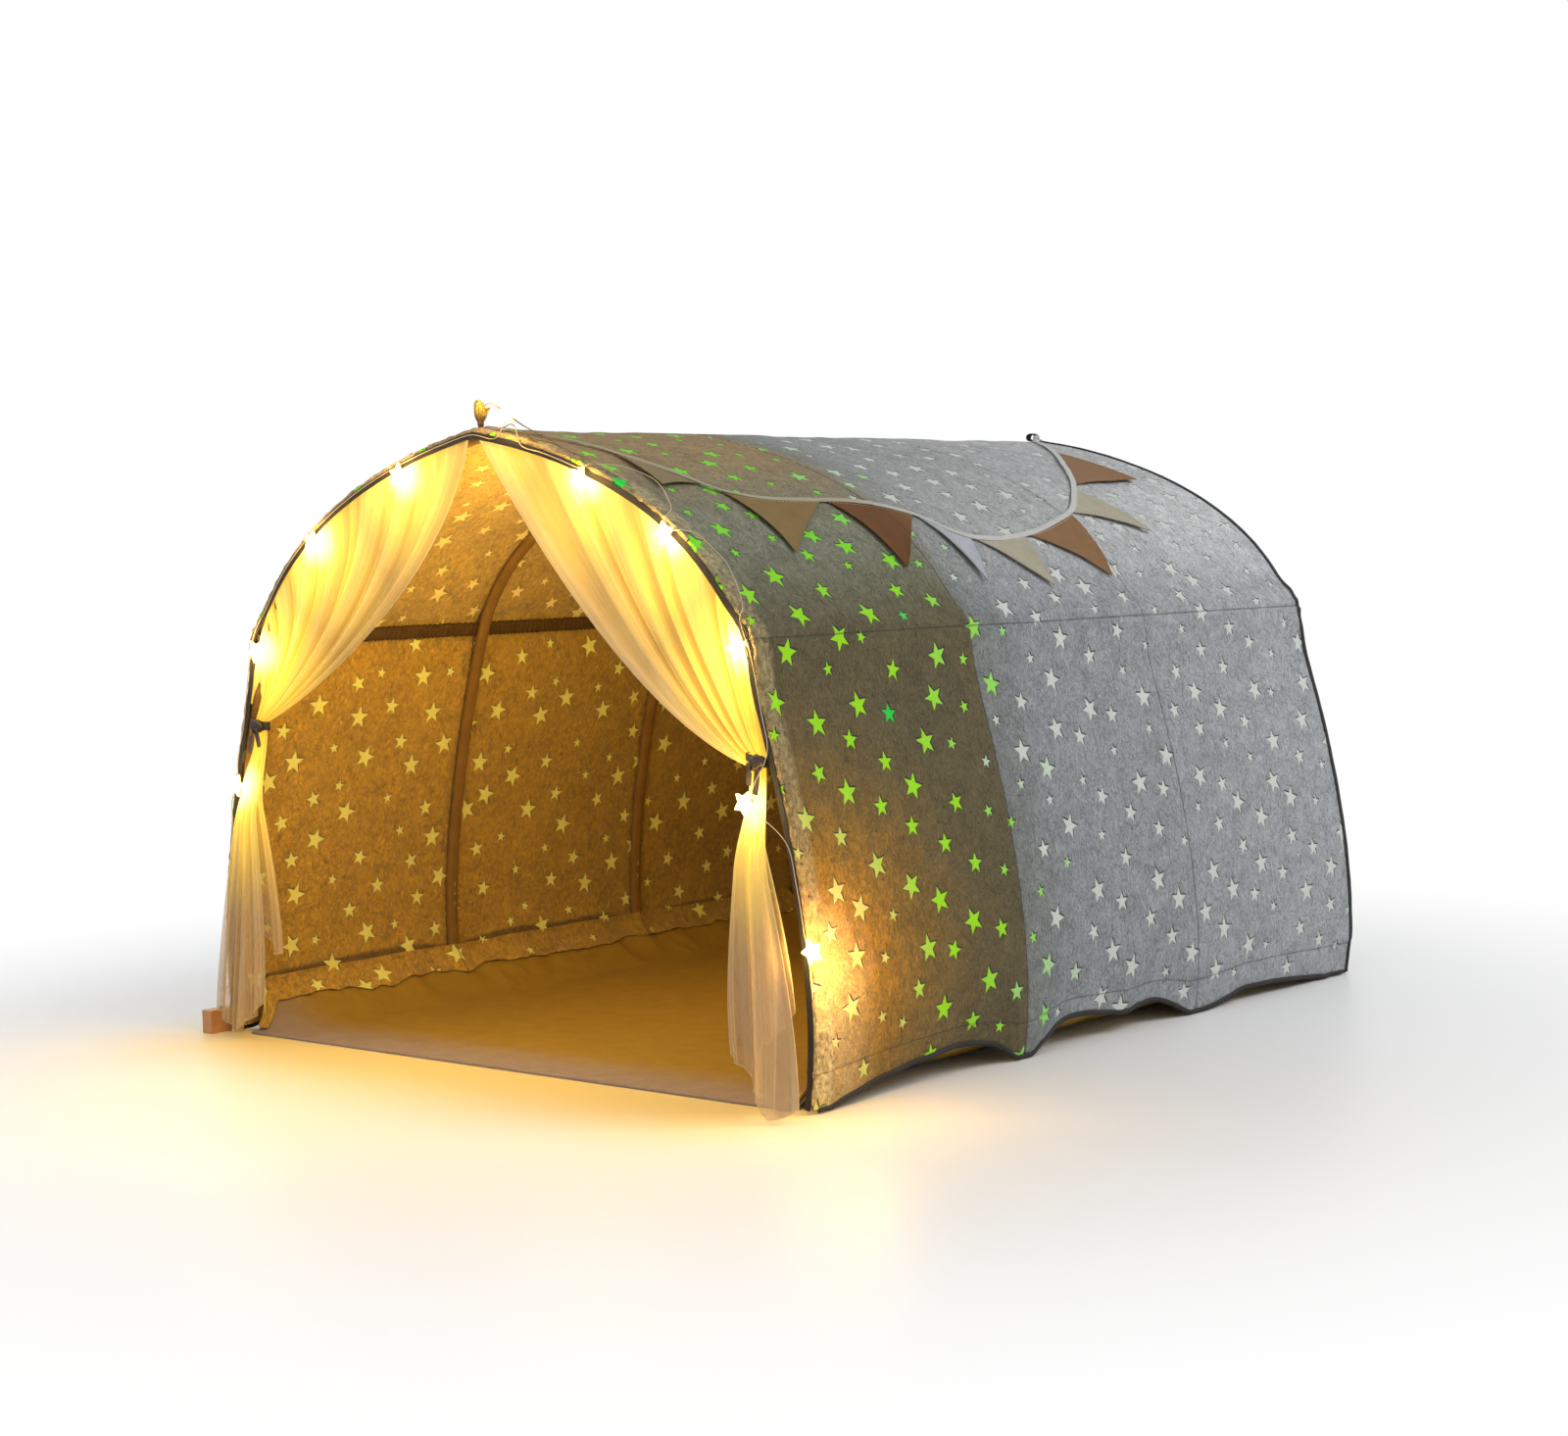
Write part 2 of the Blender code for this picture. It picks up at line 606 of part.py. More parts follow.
def hem_binding(name, side):
    """The tape on the outside of a wall's hem, between the two arch bindings."""
    start = FRONT_Y + BINDING_LAP + CLEARANCE
    end = REAR_Y - BINDING_LAP - CLEARANCE
    inside = [row for row in ROWS if start < row[0] < end]
    rows = [(start, 0.0, 0.0)] + inside + [(end, 0.0, 0.0)]
    loops = []
    for y, _, rise in rows:
        corner = hem_corner(rise)
        up = np.array(canopy(1, WALL_STATIONS[1], y))[[0, 2]] - corner
        up = up / np.linalg.norm(up)
        out = np.array([up[1], -up[0]])
        loop = []
        for rise_to, lift in ((-HEM_BINDING_DROP, 0), (-HEM_BINDING_DROP, 1), (HEM_BINDING_LAP, 1),
                              (HEM_BINDING_LAP, 0)):
            x, z = corner + rise_to * up + (HEM_BINDING_GAP + lift * BINDING_THICKNESS) * out
            loop.append((side * float(x), y, float(z)))
        loops.append(loop)
    loft(name, loops, "binding")


def smooth_step(share):
    share = min(1.0, max(0.0, share))
    return share * share * (3 - 2 * share)


def pleat(u):
    """Depth of the folds across a curtain, from -1 to 1, fading to its two edges."""
    return math.sin(2 * math.pi * CURTAIN_FOLDS * u) * math.sqrt(max(0.0, 1 - (1 - 2 * u) ** 2))


def curtain(name, side, tie, ridge_at, near, far):
    """Tulle from the front hoop, swept to the leg, gathered by its tie and flared to the floor."""
    band_x = BUNCH_HALF_WIDTH + TIE_BORE_MARGIN + TIE_THICKNESS
    tie_point, tie_normal, _ = arch(arch_at_height(tie))
    tie_x = float((tie_point + (SLEEVE_INNER_LIFT - CURTAIN_DROP_GAP - band_x) * tie_normal)[0])
    top_lift = SLEEVE_INNER_LIFT - CURTAIN_DROP_GAP - CURTAIN_THICKNESS
    top_y, tie_y = FRONT_Y + HOOP_FLAT, FRONT_Y + BUNCH_INSET
    columns = CURTAIN_FOLDS * FOLD_STEPS
    near, far = np.array(near), np.array(far)
    straight = TIE_HALF_HEIGHT + 2 * CLEARANCE
    grid = []
    for row in range(CURTAIN_DROP_ROWS + 1):
        v = row / CURTAIN_DROP_ROWS
        amplitude = BUNCH_HALF_DEPTH * (1 + 1.3 * math.sin(math.pi * v))
        points = []
        for column in range(columns + 1):
            u = column / columns
            point, normal, _ = arch(CURTAIN_TOP_AT + (ridge_at - CURTAIN_TOP_AT) * u)
            top = point + top_lift * normal
            end = np.array([tie_x + BUNCH_HALF_WIDTH * (1 - 2 * u), tie + straight])
            ray = [top, top + (end - top) / 3 + near * u, top + (end - top) * 2 / 3 + far * u, end]
            x, z = bezier(ray, v)
            wave = amplitude * pleat(u)
            points.append((side * float(x), top_y + (tie_y - top_y) * v + wave, float(z)))
        grid.append(points)
    for w in (0.0, 0.1, 0.2, 0.3, 0.45, 0.6, 0.8, 1.0):
        z = tie - straight + (CURTAIN_FOOT_HEIGHT - tie + straight) * w
        centre = tie_x + (FOOT_HALF_WIDTH - CURTAIN_FOOT_INSET - tie_x) * w
        spread = max(0.0, (w - 0.2) / 0.8)
        half = BUNCH_HALF_WIDTH + (CURTAIN_FOOT_HALF_WIDTH - BUNCH_HALF_WIDTH) * spread
        y = tie_y - (CURTAIN_FOOT_FORWARD + BUNCH_INSET) * smooth_step(w / 0.35)
        amplitude = BUNCH_HALF_DEPTH * (1 + 1.2 * w)
        points = []
        for column in range(columns + 1):
            u = column / columns
            wave = amplitude * pleat(u)
            points.append((side * (centre + half * (1 - 2 * u)), y + wave, z))
        grid.append(points)
    mesh = bmesh.new()
    verts = [[mesh.verts.new(p) for p in points] for points in grid]
    for upper, lower in zip(verts, verts[1:]):
        for c in range(columns):
            mesh.faces.new([upper[c], upper[c + 1], lower[c + 1], lower[c]])
    sheet = finish_mesh(f"curtain_{name}", mesh, "tulle")
    thickness = sheet.modifiers.new("cloth thickness", "SOLIDIFY")
    thickness.thickness = CURTAIN_THICKNESS
    thickness.offset = 0.0

    def band(grow):
        rows = []
        for z in (tie - TIE_HALF_HEIGHT, tie + TIE_HALF_HEIGHT):
            row = []
            for step in range(2 * RING_SIDES):
                turn = math.pi * step / RING_SIDES
                x = tie_x + (BUNCH_HALF_WIDTH + grow) * math.cos(turn)
                y = tie_y + (BUNCH_HALF_DEPTH + TIE_BORE_MARGIN + grow) * math.sin(turn)
                row.append((side * x, y, z))
            rows.append(row)
        return rows

    slab(f"curtain_tie_{name}", band(TIE_BORE_MARGIN + TIE_THICKNESS), band(TIE_BORE_MARGIN), "ribbon",
         wrap=True)


def ridge_ribbon():
    """A knotted ribbon that stands on the ridge at the front and holds the bunting's end."""
    foot = RIDGE_HEIGHT + CLEARANCE
    shape = [(0.0, 1.0, 1.0, 0.0), (0.2, 1.1, 1.2, 0.0), (0.35, 0.5, 0.5, 0.05), (0.6, 0.6, 0.45, 0.1),
             (0.85, 0.5, 0.4, 0.25), (1.0, 0.35, 0.3, 0.35)]
    loops = []
    for rise, wide, deep, lean in shape:
        x, z = lean * RIBBON_WIDTH, foot + rise * RIBBON_HEIGHT
        half_x, half_y = wide * RIBBON_WIDTH / 2, deep * RIBBON_DEPTH / 2
        y = FRONT_Y + RIBBON_SETBACK + RIBBON_DEPTH / 2
        loops.append([(x - half_x, y - half_y, z), (x + half_x, y - half_y, z), (x + half_x, y + half_y, z),
                      (x - half_x, y + half_y, z)])
    loft("ridge_ribbon", loops, "gold_ribbon")


def rear_loop():
    """A webbing loop on the ridge at the rear."""
    y, foot = REAR_Y - LOOP_SETBACK, RIDGE_HEIGHT + CLEARANCE
    centre = foot + LOOP_HEIGHT / 2

    def skin(inset):
        rows = []
        for end in (-LOOP_HALF_LENGTH, LOOP_HALF_LENGTH):
            turns = [math.pi * step / RING_SIDES for step in range(2 * RING_SIDES)]
            rows.append([((LOOP_WIDTH / 2 - inset) * math.cos(t), y + end,
                          centre + (LOOP_HEIGHT / 2 - inset) * math.sin(t)) for t in turns])
        return rows

    slab("rear_loop", skin(0.0), skin(LOOP_STRAP), "binding", wrap=True)


def catmull_rom(knots, at):
    """The smooth curve through the knots at a knot number that may be fractional."""
    last = len(knots) - 1
    start = min(int(at), last - 1)
    t = at - start
    a, b, c, d = (np.array(knots[min(max(start + step, 0), last)]) for step in (-1, 0, 1, 2))
    return 0.5 * (2 * b + (c - a) * t + (2 * a - 5 * b + 4 * c - d) * t**2 + (3 * b - a - 3 * c + d) * t**3)


def tape_place(at):
    y, u = catmull_rom(TAPE_KNOTS, at)
    return float(y), min(2.0, float(u))


def bunting_tape():
    """The flat tape that lies down the right of the roof from the ribbon to the rear loop."""
    under = PENNANT_LIFT + PENNANT_THICKNESS + CLEARANCE
    places = []
    for number in range(len(TAPE_KNOTS) - 1):
        (y0, u0), (y1, u1) = tape_place(number), tape_place(number + 1)
        reach = np.linalg.norm(np.array(canopy(1, u1, y1)) - np.array(canopy(1, u0, y0)))
        steps = max(1, round(reach / TAPE_STEP))
        places += [tape_place(number + step / steps) for step in range(steps)]
    places.append(tape_place(len(TAPE_KNOTS) - 1))
    low = [np.array(canopy(1, u, y, under)) for y, u in places]
    high = [np.array(canopy(1, u, y, under + TAPE_THICKNESS)) for y, u in places]
    loops = []
    for i, (bottom, top) in enumerate(zip(low, high)):
        run = low[min(i + 1, len(low) - 1)] - low[max(i - 1, 0)]
        across = np.cross(run, top - bottom)
        across = across / np.linalg.norm(across) * TAPE_WIDTH / 2
        loops.append([bottom - across, bottom + across, top + across, top - across])
    loft("bunting_tape", loops, "tape")


def pennant(number, colour, first, last, tip):
    """A felt triangle on the roof that hangs from a stretch of the tape to its tip."""
    base = [tape_place(first + (last - first) * step / 6) for step in range(7)]

    def skin(lift):
        rows = []
        for row in range(PENNANT_ROWS + 1):
            down = row / PENNANT_ROWS
            rows.append([canopy(1, u + (tip[1] - u) * down, y + (tip[0] - y) * down, lift) for y, u in base])
        return rows

    slab(f"pennant_{number}", skin(PENNANT_LIFT + PENNANT_THICKNESS), skin(PENNANT_LIFT), colour)


def front_point(side, u, lift, behind):
    """A point that follows the front edge of the canopy, behind it or, if negative, before it."""
    x, _, z = canopy(side, u, FRONT_Y, lift)
    return (x, FRONT_Y + behind, z)


def box_corner():
    """The battery box's lowest corner towards +X and -Y."""
    widest = max(canopy(1, step / 10, FRONT_Y)[0] for step in range(11))
    return -(widest + CLEARANCE + BINDING_THICKNESS + BOX_GAP), FRONT_Y - BOX_FORWARD


def light_wire():
    """The thin wire from the battery box, up the left leg, over the front hoop and down the right leg."""
    x, y = box_corner()
    start = (x - BOX_DEPTH / 2, y + BOX_LENGTH - WIRE_EXIT)
    points = [(*start, BOX_HEIGHT + CLEARANCE), (*start, BOX_HEIGHT + WIRE_RISE)]
    for number in range(len(WIRE_KNOTS) - 1):
        here, there = WIRE_KNOTS[number], WIRE_KNOTS[number + 1]
        reach = np.linalg.norm(np.array(front_point(*there)) - np.array(front_point(*here)))
        if here[0] == there[0]:
            reach = max(reach, abs(there[1] - here[1]) * FOOT_HALF_WIDTH)
        steps = max(1, math.ceil(reach / WIRE_STEP))
        for step in range(steps):
            share = step / steps
            side = here[0]
            u, lift, behind = (a + (b - a) * share for a, b in zip(here[1:], there[1:]))
            points.append(front_point(side, u, lift, behind))
    points.append(front_point(*WIRE_KNOTS[-1]))
    rod("light_wire", points, WIRE_RADIUS, "wire")
    print("light wire points", len(points))


def light_stars():
    """Ten moulded star lamps that hang on the wire and face forward."""
    outline = bpy.data.curves.new("star_outline", "CURVE")
    outline.dimensions = "2D"
    outline.fill_mode = "BOTH"
    outline.extrude = STAR_THICKNESS / 2 - STAR_EDGE
    outline.bevel_depth = STAR_EDGE
    outline.bevel_resolution = 0
    outline.offset = -STAR_EDGE
    spline = outline.splines.new("POLY")
    spline.points.add(9)
    for corner, slot in enumerate(spline.points):
        radius = STAR_WAIST if corner % 2 else STAR_RADIUS
        turn = math.pi / 2 + math.pi * corner / 5
        slot.co = (radius * math.cos(turn), radius * math.sin(turn), 0.0, 1.0)
    spline.use_cyclic_u = True
    outline.materials.append(principled("star_lamp"))
    for number, (side, u, lift, behind) in enumerate(STARS, 1):
        star = bpy.data.objects.new(f"light_star_{number}", outline)
        parts.objects.link(star)
        star.location = front_point(side, u, lift, behind)
        star.rotation_euler = (math.pi / 2, 0.0, 0.0)


def battery_cell(name, centre):
    """A small round cell lying along Y, turned from its profile."""
    half = CELL_LENGTH / 2
    shoulder = half - CELL_NUB
    profile = [(0.0, -half), (CELL_RADIUS, -half), (CELL_RADIUS, shoulder), (CELL_NUB_RADIUS, shoulder),
               (CELL_NUB_RADIUS, half), (0.0, half)]
    mesh = bmesh.new()
    verts = [mesh.verts.new((r, 0.0, z)) for r, z in reversed(profile)]
    for a, b in zip(verts, verts[1:]):
        mesh.edges.new([a, b])
    data = bpy.data.meshes.new(name)
    mesh.to_mesh(data)
    mesh.free()
    cell = add(name, data, "battery")
    cell.location = centre
    cell.rotation_euler = (-math.pi / 2, 0.0, 0.0)
    turned = cell.modifiers.new("turned", "SCREW")
    turned.steps = turned.render_steps = CELL_STEPS
    turned.use_merge_vertices = True
    turned.merge_threshold = 0.00001


def battery_box():
    """Tray, sliding cover, slide switch and two cells of the light string's battery box."""
    right, front = box_corner()
    left, back = right - BOX_DEPTH, front + BOX_LENGTH
    open_face = left + COVER_THICKNESS + CLEARANCE
    tray = box("battery_tray", (open_face, front, 0.0), (right, back, BOX_HEIGHT), "box_plastic", BOX_EDGE)
    cut(tray, (open_face - BOX_WALL, front + BOX_WALL, BOX_WALL), (right - BOX_WALL, back - BOX_WALL,
        BOX_HEIGHT - BOX_WALL), "battery bay")
    middle_x, middle_y = (open_face + right) / 2, (front + back) / 2
    half_slot = (SWITCH_STEM + SWITCH_TRAVEL) / 2 + CLEARANCE
    slot_x = SWITCH_WIDTH / 2 + CLEARANCE
    cut(tray, (middle_x - slot_x, middle_y - half_slot, BOX_HEIGHT - 2 * BOX_WALL),
        (middle_x + slot_x, middle_y + half_slot, BOX_HEIGHT + BOX_WALL), "switch slot")
    box("battery_cover", (left, front, 0.0), (left + COVER_THICKNESS, back, BOX_HEIGHT), "box_plastic",
        COVER_THICKNESS / 4)

    under = BOX_HEIGHT - BOX_WALL - CLEARANCE
    over = BOX_HEIGHT + CLEARANCE
    stem_end = -SWITCH_TRAVEL / 2 + SWITCH_STEM / 2
    stem_start = -SWITCH_TRAVEL / 2 - SWITCH_STEM / 2
    knob = (SWITCH_KNOB - SWITCH_STEM) / 2
    outline = [(stem_start - knob, under - SWITCH_FLANGE), (stem_end + knob, under - SWITCH_FLANGE),
               (stem_end + knob, under), (stem_end, under), (stem_end, over), (stem_end + knob, over),
               (stem_end + knob, over + SWITCH_RISE), (stem_start - knob, over + SWITCH_RISE),
               (stem_start - knob, over), (stem_start, over), (stem_start, under), (stem_start - knob, under)]
    loops = [[(middle_x + end * SWITCH_WIDTH / 2, middle_y + y, z) for y, z in outline] for end in (-1, 1)]
    loft("light_switch", loops, "switch_plastic")

    cell_x = right - BOX_WALL - CLEARANCE - CELL_RADIUS
    low_z = BOX_WALL + CLEARANCE + CELL_RADIUS
    battery_cell("battery_cell_lower", (cell_x, middle_y, low_z))
    battery_cell("battery_cell_upper", (cell_x, middle_y, low_z + 2 * CELL_RADIUS + CLEARANCE))


for hoop_number, hoop_y in enumerate(HOOP_Y, 1):
    hoop(hoop_number, hoop_y)
for side_name, side_sign in (("left", -1), ("right", 1)):
    eave_pole(side_name, side_sign)
    wall_panel(side_name, side_sign)
    hem_binding(f"hem_binding_{side_name}", side_sign)
    curtain(side_name, **CURTAINS[side_name])
roof_panel()
rear_panel()
floor_sheet()
arch_binding("front_binding", FRONT_Y, -1)
arch_binding("rear_binding", REAR_Y, 1)
ridge_ribbon()
rear_loop()
bunting_tape()
for pennant_number, (felt, begins, ends_at, point_at) in enumerate(PENNANTS, 1):
    pennant(pennant_number, felt, begins, ends_at, point_at)
light_wire()
light_stars()
battery_box()
print("objects", len(parts.objects))
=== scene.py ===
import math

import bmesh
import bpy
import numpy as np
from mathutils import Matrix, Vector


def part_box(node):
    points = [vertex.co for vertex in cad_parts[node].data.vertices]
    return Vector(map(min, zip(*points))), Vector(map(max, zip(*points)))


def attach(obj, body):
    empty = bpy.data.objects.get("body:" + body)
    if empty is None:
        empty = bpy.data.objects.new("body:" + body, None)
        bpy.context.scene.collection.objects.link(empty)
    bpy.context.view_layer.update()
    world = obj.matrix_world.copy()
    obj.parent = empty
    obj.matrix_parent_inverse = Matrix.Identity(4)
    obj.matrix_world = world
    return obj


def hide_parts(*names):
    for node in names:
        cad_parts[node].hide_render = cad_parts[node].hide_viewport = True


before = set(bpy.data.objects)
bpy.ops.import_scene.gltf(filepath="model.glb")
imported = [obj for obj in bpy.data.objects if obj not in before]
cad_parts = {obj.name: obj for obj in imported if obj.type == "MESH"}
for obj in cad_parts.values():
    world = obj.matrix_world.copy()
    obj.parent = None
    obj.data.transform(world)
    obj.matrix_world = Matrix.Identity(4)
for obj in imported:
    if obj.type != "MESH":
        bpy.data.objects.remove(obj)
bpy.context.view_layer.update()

# %% [markdown]
# # Bunk bed tent
# The tent is a tunnel of printed fleece on four bent hoops that stands over a single mattress. Its packed
# solid model is the frame that was loaded above. Cloth, cords and lamps are made again here in full detail
# and take their solids' places. Poles, cells and the battery box keep their shapes and get finishes.
# Everything is in metres, with the open mouth towards -Y and the ground at z = 0.


# %% [markdown]
# ## The tent's measures
# A real tent like this is cut from a few numbers: how wide it stands, where the walls meet the roof, how
# high the ridge is and where the hoops sit. The same numbers shape the solids. Named values keep every
# piece below on one outline, so that sleeves, tapes and cords follow when a number changes.

# %% Measures
# Outline of the tent, as in the part's source
FRONT_Y, REAR_Y, CANOPY_REAR_Y = -0.5675, 0.5675, 0.5642
FOOT_HALF_WIDTH, EAVE_HALF_WIDTH, EAVE_HEIGHT, RIDGE_HEIGHT = 0.490, 0.4136, 0.506, 0.751
FOOT_LEAN, EAVE_LEAN, RIDGE_PITCH = math.radians(78.6), math.radians(70.5), math.radians(9.8)
FOOT_REACH, WALL_TOP_REACH, ROOF_FOOT_REACH, RIDGE_REACH = 0.137, 0.176, 0.124, 0.219
HOOP_Y = [-0.5545, -0.1859, 0.1827, 0.5512]
HEM_HEIGHT, HEM_TUCK = 0.0060, 0.35
HEM_SHARES = [0.08, 0.2, 0.35, 0.5, 0.57, 0.7, 0.82, 0.92]
HEM_RISES = [[0.006, 0.013, 0.019, 0.025, 0.027, 0.029, 0.026, 0.017],
             [0.012, 0.027, 0.031, 0.024, 0.021, 0.025, 0.024, 0.012],
             [0.002, 0.007, 0.012, 0.012, 0.011, 0.008, 0.004, 0.001]]
CLOTH = 0.0026
REAR_FOOT = 0.0010
SLEEVE_LIFT, SLEEVE_FOOT, SLEEVE_HALF_WIDTH, SLEEVE_HALF_DEPTH = -0.0098, 0.015, 0.0088, 0.0060
EAVE_LIFT, EAVE_SWELL, CAD_EAVE_SWELL = 0.002, 0.0108, 0.0115
SEAM_ABOVE_HEM, SEAM_DIP = 0.038, 0.65
LOWEST_LAMP = (0.515, -0.558, 0.155)
NOISE_GRID = 64


# %% [markdown]
# ## The outline
# Seen from the front, a hoop is a bent rod: nearly straight at the foot, round at the eave and nearly
# straight again to the ridge. It could be drawn by hand as a curve object. Two curves with handles, worked
# out in code, give the same line and also its direction at every point, which all the cloth needs.

# %% Two curves from ridge to foot
def along(angle):
    return np.array([math.cos(angle), math.sin(angle)])


def bezier(corners, t):
    a, b, c, d = corners
    s = 1 - t
    return s**3 * a + 3 * s * s * t * b + 3 * s * t * t * c + t**3 * d


def bezier_slope(corners, t):
    a, b, c, d = corners
    s = 1 - t
    return 3 * s * s * (b - a) + 6 * s * t * (c - b) + 3 * t * t * (d - c)


FOOT, EAVE = np.array([FOOT_HALF_WIDTH, 0.0]), np.array([EAVE_HALF_WIDTH, EAVE_HEIGHT])
RIDGE = np.array([0.0, RIDGE_HEIGHT])
UP_EAVE = along(math.pi - EAVE_LEAN)
WALL_CURVE = [EAVE, EAVE - WALL_TOP_REACH * UP_EAVE, FOOT + FOOT_REACH * along(FOOT_LEAN), FOOT]
ROOF_CURVE = [RIDGE, RIDGE + RIDGE_REACH * along(-RIDGE_PITCH), EAVE + ROOF_FOOT_REACH * UP_EAVE, EAVE]


def outline(place):
    """Points and outward normals as (x, z). place is 0 at the ridge, 1 at the eave and 2 at the foot."""
    place = np.asarray(place, float)[..., None]
    on_roof = place <= 1
    t = np.where(on_roof, place, place - 1)
    point = np.where(on_roof, bezier(ROOF_CURVE, t), bezier(WALL_CURVE, t))
    slope = np.where(on_roof, bezier_slope(ROOF_CURVE, t), bezier_slope(WALL_CURVE, t))
    slope = slope / np.linalg.norm(slope, axis=-1, keepdims=True)
    return point, np.stack([-slope[..., 1], slope[..., 0]], -1)


PLACES = np.linspace(0, 2, 801)
OUTLINE = outline(PLACES)[0]
ARCS = np.concatenate([[0], np.cumsum(np.linalg.norm(np.diff(OUTLINE, axis=0), axis=1))])
EAVE_ARC = float(np.interp(1.0, PLACES, ARCS))
print(f"Ridge to foot: {ARCS[-1]:.3f} m of cloth, with the eave at {EAVE_ARC:.3f} m")


def arc(place):
    """Signed distance along the outline from the ridge."""
    return np.sign(place) * np.interp(np.abs(place), PLACES, ARCS)


def place_at(distance):
    return np.interp(distance, ARCS, PLACES)


def place_at_height(height):
    return np.interp(-np.asarray(height), -OUTLINE[:, 1], PLACES)


# %% [markdown]
# ## Small helpers for uneven shapes
# Cloth is never even, so most shapes below add smooth noise, soft humps and steps to exact ones. The noise
# comes from numpy with a fixed seed and not from a texture, so that each run makes the same folds.

# %% Noise, curves through knots, humps and stations
def noise(a, b, size, seed):
    """Smooth noise from -1 to 1 over two coordinates, with features of this size."""
    grid = np.random.default_rng(seed).uniform(-1, 1, (NOISE_GRID, NOISE_GRID))
    x, y = np.broadcast_arrays(np.asarray(a, float) / size, np.asarray(b, float) / size)
    i, j = np.floor(x).astype(int), np.floor(y).astype(int)
    fx, fy = x - i, y - j
    fx, fy = fx * fx * (3 - 2 * fx), fy * fy * (3 - 2 * fy)
    corner = [[grid[(i + di) % NOISE_GRID, (j + dj) % NOISE_GRID] for dj in (0, 1)] for di in (0, 1)]
    low = corner[0][0] * (1 - fx) + corner[1][0] * fx
    high = corner[0][1] * (1 - fx) + corner[1][1] * fx
    return low * (1 - fy) + high * fy


def through(x, knots_x, knots_y):
    """Smooth curve through the knots."""
    xs, ys = np.asarray(knots_x, float), np.asarray(knots_y, float)
    slopes = np.gradient(ys, xs)
    i = np.clip(np.searchsorted(xs, x, side="right") - 1, 0, len(xs) - 2)
    h = xs[i + 1] - xs[i]
    t = np.clip((x - xs[i]) / h, 0, 1)
    return ((1 + 2 * t) * (1 - t) ** 2 * ys[i] + t * (1 - t) ** 2 * h * slopes[i]
            + t * t * (3 - 2 * t) * ys[i + 1] + t * t * (t - 1) * h * slopes[i + 1])


def together(*parts):
    """The parts, stretched to one shape, as coordinates of points."""
    return np.stack(np.broadcast_arrays(*parts), -1)


def hump(distance, width):
    return np.exp(-(np.asarray(distance) / width) ** 2)


def smooth_step(share):
    share = np.clip(share, 0, 1)
    return share * share * (3 - 2 * share)


def clustered(start, end, step, fine, centres, reach):
    """Stations from start to end, this far apart, and closer near the centres."""
    at = np.linspace(start, end, 6000)
    density = np.full_like(at, 1 / step)
    for centre in centres:
        density += (1 / fine - 1 / step) * hump(at - centre, reach)
    total = np.concatenate([[0], np.cumsum((density[1:] + density[:-1]) / 2 * np.diff(at))])
    return np.interp(np.linspace(0, total[-1], int(total[-1]) + 2), total, at)


# %% [markdown]
# ## How the cloth stands off the outline
# Between two hoops the fleece hangs slack, its hem is drawn up in waves, the eave pole pushes it out, and
# each seam puckers it. A cloth simulation could find such a shape, but it would differ with each version
# and take minutes. Here one function gives the lift at every point, and each wrinkle has its own line.

# %% Hem waves and slack
HEM_KNOTS = [(FRONT_Y, 0.0)]
for first, second, rises in zip(HOOP_Y, HOOP_Y[1:], HEM_RISES):
    start, end = first + 0.013, second - 0.013
    HEM_KNOTS += [(start, 0.0)] + [(start + share * (end - start), rise) for share, rise in
                                   zip(HEM_SHARES, rises)] + [(end, 0.0)]
HEM_KNOTS.append((REAR_Y, 0.0))


def hem_rise(y):
    return np.clip(through(y, *zip(*HEM_KNOTS)), 0, 0.04)


def bay_middle(y):
    """0 at the hoops and 1 half way between two of them."""
    y = np.asarray(y, float)
    number = np.clip(np.searchsorted(HOOP_Y, y) - 1, 0, len(HOOP_Y) - 2)
    hoops = np.asarray(HOOP_Y)
    share = (y - hoops[number]) / (hoops[number + 1] - hoops[number])
    return np.where((share > 0) & (share < 1), np.sin(np.pi * np.clip(share, 0, 1)) ** 1.3, 0.0)


